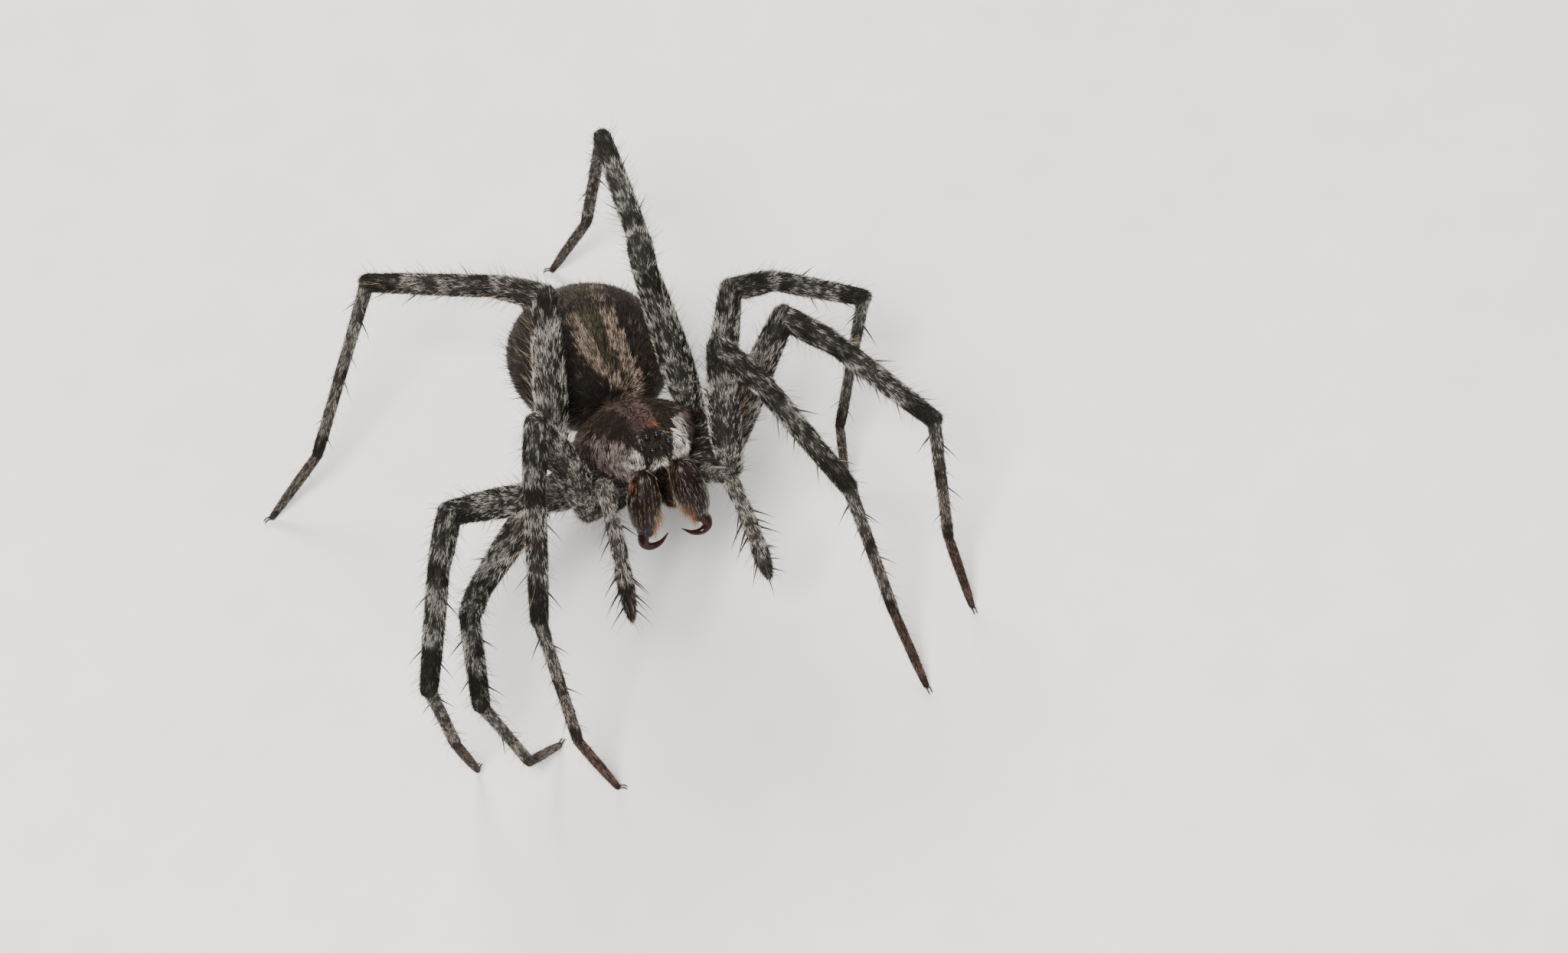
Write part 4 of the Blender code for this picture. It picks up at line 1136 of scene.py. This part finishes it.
def ring_strength(rings, index, share):
    """How dark the rings of a limb are at each point."""
    dark = np.zeros(len(index))
    for k, marks in enumerate(rings):
        mine = index == k
        for middle, half, strength in marks:
            ring = ramp(-np.abs(share[mine] - middle), -half * 1.25, -half * 0.7)
            dark[mine] = np.maximum(dark[mine], strength * ring)
    return dark


def streaks(places, combs, scale, seed):
    """Noise drawn out along the lie of the hair."""
    along = np.einsum("ij,ij->i", places, combs)[:, None]
    return drift(places - 0.65 * along * combs, scale, seed)


def dress_limb(piece, chain, number, settings):
    """Gives a leg its marking, and where its lying, standing and golden hairs grow, clear of the floor."""
    places, index, share, out, combs, unwrap = limb_places(piece, chain)
    cloud, speck = drift(places, 1.5, number), drift(places, 4.2, 7)
    streak, fine = streaks(places, combs, 5.0, 4), streaks(places, combs, 12.0, 8)
    ring = ring_strength(LEG_RINGS, index, share)
    pale = 0.4 + 0.8 * streak + 0.8 * speck + 0.8 * cloud + 1.3 * fine - 0.6 * ring
    colours = blend(settings.leg_pale, settings.leg_dark, 0.8 * ramp(ring - 0.5 * streak, 0.25, 0.9))
    under = ramp(-out[:, 2], 0.1, 0.7)
    ankle = 0.3 * ramp(share, 0.1, 0.6) + 0.5 * under
    foot = np.where(index == 5, 0.75, 0.0) + np.where(index == 4, ankle, 0.0)
    colours = blend(colours, settings.leg_red, foot if number < 3 else 0.5 * foot)
    pale = np.where(index == 5, np.maximum(pale, 0.35), pale + 0.12 * (index == 4) * (1 - ring))
    aloft = ramp(places[:, 2], 0.1, 0.6)
    combs = combs + np.outer(0.6 * (1 - aloft), (0, 0, 1))
    length = np.array(LEG_HAIR)[index] * (0.55 + 0.45 * aloft)
    outer = out[:, 0] * np.sign(chain[1].x - BODY_PLACE[0])
    high = ramp(places[:, 2], 0.5, 1.0)
    dress(piece, colours, pale, combs, length, unwrap,
          coat=np.where(index == 0, 0.6, 1.0), fine=np.where(index > 1, 1.0, 0.6) * high,
          gold=np.maximum(ramp(-out[:, 2], 0.2, 0.7), ramp(outer, 0.4, 0.8))
          * np.where((index == 1) | (index == 3), 1.0, 0.3) * high)


class SPIDER_OT_palps(bpy.types.Operator):
    """Makes the skin of the two palps"""

    bl_idname = "spider.palps"
    bl_label = "Palp skins"

    def execute(self, context):
        settings = context.scene.spider
        stand = body_matrix()
        for side in SIDES:
            chain = palp_points(side)
            work = bmesh.new()
            limb_length(work, stand @ mirrored(PALP_START, side), chain[0], PALP_COXA_RADII)
            for a, b, rule in zip(chain, chain[1:], PALP_RADII):
                limb_length(work, a, b, rule)
            piece = fused("palp_%s_skin" % side, work, settings.voxel / MM)
            places, index, share, out, combs, unwrap = limb_places(piece, chain)
            speck, fine = drift(places, 4.0, 6), drift(places, 9.0, 3)
            ring = ring_strength(PALP_RINGS, index, share)
            colours = blend(settings.palp_pale, PALP_DARK, 0.9 * ramp(ring, 0.3, 0.8))
            pale = 0.44 + 1.2 * speck + 1.4 * fine - 0.3 * ring
            dress(piece, colours, pale, combs, np.array(PALP_HAIR)[index], unwrap,
                  coat=np.ones(len(places)), fine=np.where(index > 1, 1.0, 0.4))
            settle(piece, finish("cuticle"), "palps", "palp_%s_upper" % side, "palp_%s_tip" % side)
        return {"FINISHED"}


class SPIDER_OT_jaws(bpy.types.Operator):
    """Makes the two glossy jaws with their rows of hair, and the two fangs"""

    bl_idname = "spider.jaws"
    bl_label = "Jaws and fangs"

    def execute(self, context):
        settings = context.scene.spider
        stand = body_matrix()
        for side in SIDES:
            points, radii = chelicera_stations(side)
            work = bmesh.new()
            capsule(work, *resample(points, radii, 18), sides=JAW_SIDES)
            piece = plain("jaw_" + side, work)
            piece.data.transform(stand)
            chain = [stand @ points[0], stand @ points[-1]]
            places, index, share, out, combs, unwrap = limb_places(piece, chain)
            rows = ramp(np.cos(unwrap[:, 0] * 2 * np.pi * JAW_HAIR_ROWS), 0.0, 0.8)
            rows = rows * ramp(drift(places, 3.0, 6), -0.5, 0.2)
            inner = out @ np.array(stand.to_3x3() @ Vector((-SIDES[side], 0, 0)))
            gold = ramp(inner, 0.1, 0.6) * ramp(share, 0.4, 0.75)
            edge = ramp(-inner, 0.8, 1.0) * ramp(-share, -0.18, -0.02)
            keep(piece.data, "shell", blend(settings.jaw, settings.amber, edge))
            silver = blend(*JAW_HAIRS, ramp(drift(places, 2.0, 4), -0.1, 0.4))
            colours = blend(silver, settings.gold, gold)
            dress(piece, colours, 0.56 + 0.3 * gold, combs, 0.42 + 0 * gold, unwrap,
                  coat=rows * (1 - gold), gold=gold)
            settle(piece, finish("jaw_gloss"), "jaws", "chelicera_" + side)

            work = bmesh.new()
            tooth = [mirrored(point, side) for point in FANG_POINTS]
            loft(work, *resample(tooth, FANG_RADII, 28), FANG_SIDES)
            piece = plain("fang_tooth_" + side, work)
            piece.data.transform(Matrix.Scale(MM, 4) @ stand)
            settle(piece, finish("fang_gloss", settings.fang), "fangs", "fang_" + side)
        return {"FINISHED"}


class SPIDER_OT_eyes(bpy.types.Operator):
    """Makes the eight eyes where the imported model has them"""

    bl_idname = "spider.eyes"
    bl_label = "Eyes"

    def execute(self, context):
        names = [name for name, middle, radius in packed_eyes()]
        work = bmesh.new()
        for name, middle, radius in packed_eyes():
            bmesh.ops.create_uvsphere(work, u_segments=24, v_segments=16, radius=radius,
                                      matrix=Matrix.Translation(middle))
        piece = plain("eyes", work)
        piece.data.transform(Matrix.Scale(MM, 4))
        settle(piece, finish("eye_gloss", EYE_BLACK), "eyes", *names)
        return {"FINISHED"}


class SPIDER_OT_spinnerets(bpy.types.Operator):
    """Makes the two long and two short spinnerets"""

    bl_idname = "spider.spinnerets"
    bl_label = "Spinnerets"

    def execute(self, context):
        stand = body_matrix()
        for side in SIDES:
            for label, rule in (("long", SPINNERET_LONG), ("short", SPINNERET_SHORT)):
                points = [abdomen_point(SIDES[side] * x, y, z) for (x, y, z), radius in rule]
                points[0] = points[0] + (points[0] - points[1]) * 0.5
                work = bmesh.new()
                capsule(work, *resample(points, [radius for place, radius in rule], 20), sides=20)
                piece = plain("spinneret_%s_%s_skin" % (label, side), work)
                piece.data.transform(stand)
                chain = [stand @ points[0], stand @ points[-1]]
                places, index, share, out, combs, unwrap = limb_places(piece, chain)
                band = ramp(-np.abs(share - 0.62), -0.14, -0.06) if label == "long" else 0 * share
                colours = blend(*SPINNERET_HAIRS, 0.8 * band + 0.5 * ramp(-share, -0.3, 0.0))
                dress(piece, colours, 0.6 - 0.4 * band, combs, np.full(len(places), 0.6), unwrap,
                      coat=np.ones(len(places)))
                settle(piece, finish("cuticle"), "spinnerets", "spinneret_%s_%s" % (label, side))
        return {"FINISHED"}


# Spines stand on the limbs where the tables place them, clear of the floor, the body and the other limbs.

def spined_limbs():
    """Each limb with spines, as its key, its points from the root on, the room that it needs, its spines."""
    legs = [(key, leg_points(*key)[1:], LEG_ROOM, LEG_SPINE_SETS) for key in STANCE]
    return legs + [(("palp", side), palp_points(side), PALP_ROOM, PALP_SPINE_SETS) for side in SIDES]


def limb_lines():
    """Each limb length as (owner, index, start, end, room), room being what spines keep from its line."""
    lines = [(key, k, points[k], points[k + 1], room)
             for key, points, rooms, sets in spined_limbs() for k, room in enumerate(rooms)]
    for side in SIDES:
        jaw = [body_matrix() @ point for point in chelicera_stations(side)[0]]
        lines.append((("jaw", side), 0, jaw[0], jaw[-1], JAW_ROOM))
    return lines


def clear_of_body(point):
    """True outside the two egg-shaped spaces that the abdomen and the carapace take."""
    local = body_matrix().inverted() @ point
    from_middle = local - abdomen_point(0.0, 0.5, 0.0)
    along = [from_middle.dot(axis) for axis in abdomen_axes()]
    abdomen = sum((value / room) ** 2 for value, room in zip(along, ABDOMEN_ROOM))
    carapace = sum((value / room) ** 2 for value, room in zip(local, CARAPACE_ROOM))
    return abdomen > 1 and carapace > 1


def is_clear(start, way, reach, own, lines):
    """True where the outer half of a spine keeps off the floor, the body and every other limb length."""
    for share in (0.6, 1.0):
        point = start + way * (reach * share)
        if point.z < FLOOR_ROOM or not clear_of_body(point):
            return False
        for owner, index, a, b, room in lines:
            if (owner, index) != own and distance(point, a, b) < room:
                return False
    return True


def spine_set(rule, a, b, own, lines):
    """Where the spines of one length start and point: place, way, way out and length."""
    draw = random.Random("%s %s %d" % (*own[0], own[1]))
    run = (b - a).normalized()
    side = run.cross(Vector((0, 0, 1)))
    side = side.normalized() if side.length > 0.1 else Vector((1, 0, 0))
    up = side.cross(run).normalized()
    found = []
    for share, turn, length in rule:
        jitter, lean = draw.uniform(-12, 12), math.radians(draw.uniform(*SPINE_LEAN))
        place, reach = share + draw.uniform(-0.02, 0.02), length * draw.uniform(0.92, 1.08)
        for shift in SPINE_TURNS:
            angle = math.radians(turn + jitter + shift)
            out = up * math.cos(angle) + side * math.sin(angle)
            way = out * math.sin(lean) + run * math.cos(lean)
            start = a + (b - a) * place + out * SPINE_SINK
            if is_clear(start, way, reach, own, lines):
                found.append((start, way, out, reach))
                break
    return found


class SPIDER_OT_spines(bpy.types.Operator):
    """Makes the black stout spines of the legs and the palps"""

    bl_idname = "spider.spines"
    bl_label = "Spines"

    def execute(self, context):
        settings = context.scene.spider
        lines = limb_lines()
        found = []
        for key, points, rooms, sets in spined_limbs():
            for rule, k in sets:
                found += spine_set(rule, points[k], points[k + 1], (key, k), lines)
        starts, ways, outs, reaches = zip(*found)
        mesh = bpy.data.meshes.new("spine_roots")
        mesh.from_pydata([start * MM for start in starts], [], [])
        keep(mesh, "comb", np.array(ways))
        keep(mesh, "outward", np.array(outs))
        keep(mesh, "fur_length", np.array(reaches))
        shares = np.arange(len(found)) / len(found)
        across = UNWRAP_EDGE + 0.95 * shares
        keep(mesh, "unwrap", np.stack([across, 0.5 + 0 * shares, 0 * shares], axis=1))
        values = {"Length": 1.0, "Thickness": settings.spine_thickness / MM, "Bend": 0.12,
                  "Finish": finish("spine_black", SPINE_BLACK)}
        piece = grow("spines", mesh, "stout_spines", values)
        bpy.data.meshes.remove(mesh)
        settle(piece, None, "legs")
        return {"FINISHED"}


class SPIDER_OT_claws(bpy.types.Operator):
    """Makes the paired claws at the tips of the legs"""

    bl_idname = "spider.claws"
    bl_label = "Claws"

    def execute(self, context):
        work = bmesh.new()
        for key in STANCE:
            chain = leg_points(*key)
            level = Vector((chain[6].x - chain[5].x, chain[6].y - chain[5].y, 0)).normalized()
            across = level.cross(Vector((0, 0, 1)))
            for sign in (-1, 1):
                base = foot_end(chain) + across * (CLAW_ASIDE * sign)
                line = [base + level * ahead + Vector((0, 0, up)) for ahead, up in CLAW_LINE]
                loft(work, *resample(line, CLAW_RADII, 9), 8)
        piece = plain("claws", work)
        piece.data.transform(Matrix.Scale(MM, 4))
        settle(piece, finish("claw_horn", CLAW_HORN), "legs")
        return {"FINISHED"}


class SPIDER_OT_coats(bpy.types.Operator):
    """Grows the hair of the body, the legs, the palps, the jaws and the spinnerets"""

    bl_idname = "spider.coats"
    bl_label = "Hair coats"

    def execute(self, context):
        settings = context.scene.spider
        thickness = settings.hair_thickness / MM
        length = settings.hair_length / MM
        common = {"Thickness": thickness, "Length": length, "Finish": finish("hair"), "Lift": 0.45,
                  "Stray": 0.2, "Bend": 0.25, "Rings": 1, "Dark": (*settings.dark_hair, 1.0)}
        standing = {"Where": "grows_fine", "Density": settings.fine_density,
                    "Thickness": STANDING_THICKNESS * thickness, "Length": STANDING_LENGTH * length,
                    "Lift": 1.05, "Rings": 3, "Own": 0.0, "Pale": (*settings.dark_hair, 1.0)}
        golden = dict(standing, Where="grows_gold", Pale=(*settings.gold_pale, 1.0), Lift=0.95,
                      Density=GOLDEN_SHARE * settings.fine_density, Length=GOLDEN_LENGTH * length,
                      Thickness=thickness)

        def coat(name, skin, slot_name, **values):
            wanted = {**common, "Seed": settings.seed + len(name), **values}
            settle(grow(name, bpy.data.objects[skin].data, "hair_coat", wanted), None, slot_name)

        coat("abdomen_coat", "body_skin", "abdomen", Where="grows_abdomen", Density=settings.abdomen_density,
             Lift=0.5)
        coat("carapace_coat", "body_skin", "carapace", Where="grows_carapace",
             Density=settings.carapace_density)
        sparse = dict(standing, Density=BODY_STANDING_DENSITY, Length=BODY_STANDING_LENGTH * length)
        coat("body_standing_hair", "body_skin", "abdomen", **sparse)
        for side, number in STANCE:
            name = "leg_%d_%s" % (number, side)
            coat(name + "_coat", name + "_skin", "legs", Density=settings.leg_density)
            coat(name + "_standing_hair", name + "_skin", "legs", **standing)
            coat(name + "_golden_hair", name + "_skin", "legs", **golden)
        for side in SIDES:
            coat("palp_%s_coat" % side, "palp_%s_skin" % side, "palps", Density=settings.leg_density)
            coat("palp_%s_standing_hair" % side, "palp_%s_skin" % side, "palps", **standing)
            coat("jaw_%s_coat" % side, "jaw_" + side, "jaws", Density=JAW_DENSITY,
                 Thickness=JAW_THICKNESS * thickness, Lift=0.25)
            coat("jaw_%s_fringe" % side, "jaw_" + side, "jaws", Where="grows_gold", Density=FRINGE_DENSITY,
                 Thickness=FRINGE_THICKNESS * thickness, Length=FRINGE_LENGTH * length, Lift=0.75, Rings=2)
            for label in ("long", "short"):
                name = "spinneret_%s_%s" % (label, side)
                coat(name + "_coat", name + "_skin", "spinnerets", Density=SPINNERET_DENSITY)
        return {"FINISHED"}


class SPIDER_OT_stage(bpy.types.Operator):
    """Sets the pale floor, the soft lights and the camera"""

    bl_idname = "spider.stage"
    bl_label = "Stage"

    def execute(self, context):
        settings = context.scene.spider
        work = bmesh.new()
        bmesh.ops.create_grid(work, x_segments=4, y_segments=4, size=FLOOR_SIZE)
        floor = plain("floor", work)
        floor.data.transform(Matrix.Scale(MM, 4))
        floor.data.materials.append(finish("floor_pale", settings.floor))

        world = bpy.data.worlds.new("soft_room")
        world.use_nodes = True
        background = world.node_tree.nodes["Background"].inputs
        background["Color"].default_value = WORLD_COLOUR
        background["Strength"].default_value = WORLD_STRENGTH
        context.scene.world = world
        for light in LIGHTS:
            add_light(*light)
        add_camera(context.scene)
        return {"FINISHED"}


def add_light(name, place, size, power, colour):
    """A soft square light that looks at the spider."""
    lamp = bpy.data.lights.new(name, "AREA")
    lamp.size = size
    lamp.energy = power
    lamp.color = colour
    made = link(name, lamp)
    made.location = place
    made.rotation_mode = "QUATERNION"
    made.rotation_quaternion = (Vector(LIGHT_AIM) - Vector(place)).to_track_quat("-Z", "Y")


def add_camera(scene):
    """The camera looks down at the spider from in front, rolled a little to its right."""
    azimuth, elevation, roll = map(math.radians, (CAMERA_AZIMUTH, CAMERA_ELEVATION, CAMERA_ROLL))
    back = Vector((math.sin(azimuth) * math.cos(elevation), -math.cos(azimuth) * math.cos(elevation),
                   math.sin(elevation)))
    level = Vector((math.cos(azimuth), math.sin(azimuth), 0))
    rise = back.cross(level)
    right = math.cos(roll) * level + math.sin(roll) * rise
    up = -math.sin(roll) * level + math.cos(roll) * rise
    place = back * CAMERA_DISTANCE - right * CAMERA_OFFSET[0] - up * CAMERA_OFFSET[1]
    place += Vector((BODY_PLACE[0] + CAMERA_AIM[0], BODY_PLACE[1] + CAMERA_AIM[1], 0))
    lens = bpy.data.cameras.new("camera")
    lens.sensor_width = CAMERA_SENSOR
    lens.lens = CAMERA_LENS
    lens.clip_start, lens.clip_end = CAMERA_CLIP
    camera = link("camera", lens)
    camera.matrix_world = Matrix.Translation(place * MM) @ Matrix((right, up, back)).transposed().to_4x4()
    scene.camera = camera


OPERATORS = (SPIDER_OT_body, SPIDER_OT_legs, SPIDER_OT_palps, SPIDER_OT_jaws, SPIDER_OT_eyes,
             SPIDER_OT_spinnerets, SPIDER_OT_spines, SPIDER_OT_claws, SPIDER_OT_coats, SPIDER_OT_stage)


class SPIDER_PT_panel(bpy.types.Panel):
    """Lists the pieces of the spider"""

    bl_idname = "SPIDER_PT_panel"
    bl_label = "Desert Grass Spider"
    bl_space_type = "VIEW_3D"
    bl_region_type = "UI"
    bl_category = "Spider"

    def draw(self, context):
        for operator in OPERATORS:
            self.layout.operator(operator.bl_idname)
        for name in SpiderSettings.__annotations__:
            self.layout.prop(context.scene.spider, name)


CLASSES = (SpiderSettings, *OPERATORS, SPIDER_PT_panel)


def register():
    """Registers the classes and their settings."""
    for item in CLASSES:
        bpy.utils.register_class(item)
    bpy.types.Scene.spider = PointerProperty(type=SpiderSettings)


def unregister():
    """Removes the settings and the classes."""
    del bpy.types.Scene.spider
    for item in reversed(CLASSES):
        bpy.utils.unregister_class(item)


def main():
    """Makes every piece in order."""
    register()
    for operator in OPERATORS:
        group, name = operator.bl_idname.split(".")
        getattr(getattr(bpy.ops, group), name)()


if __name__ == "__main__":
    main()
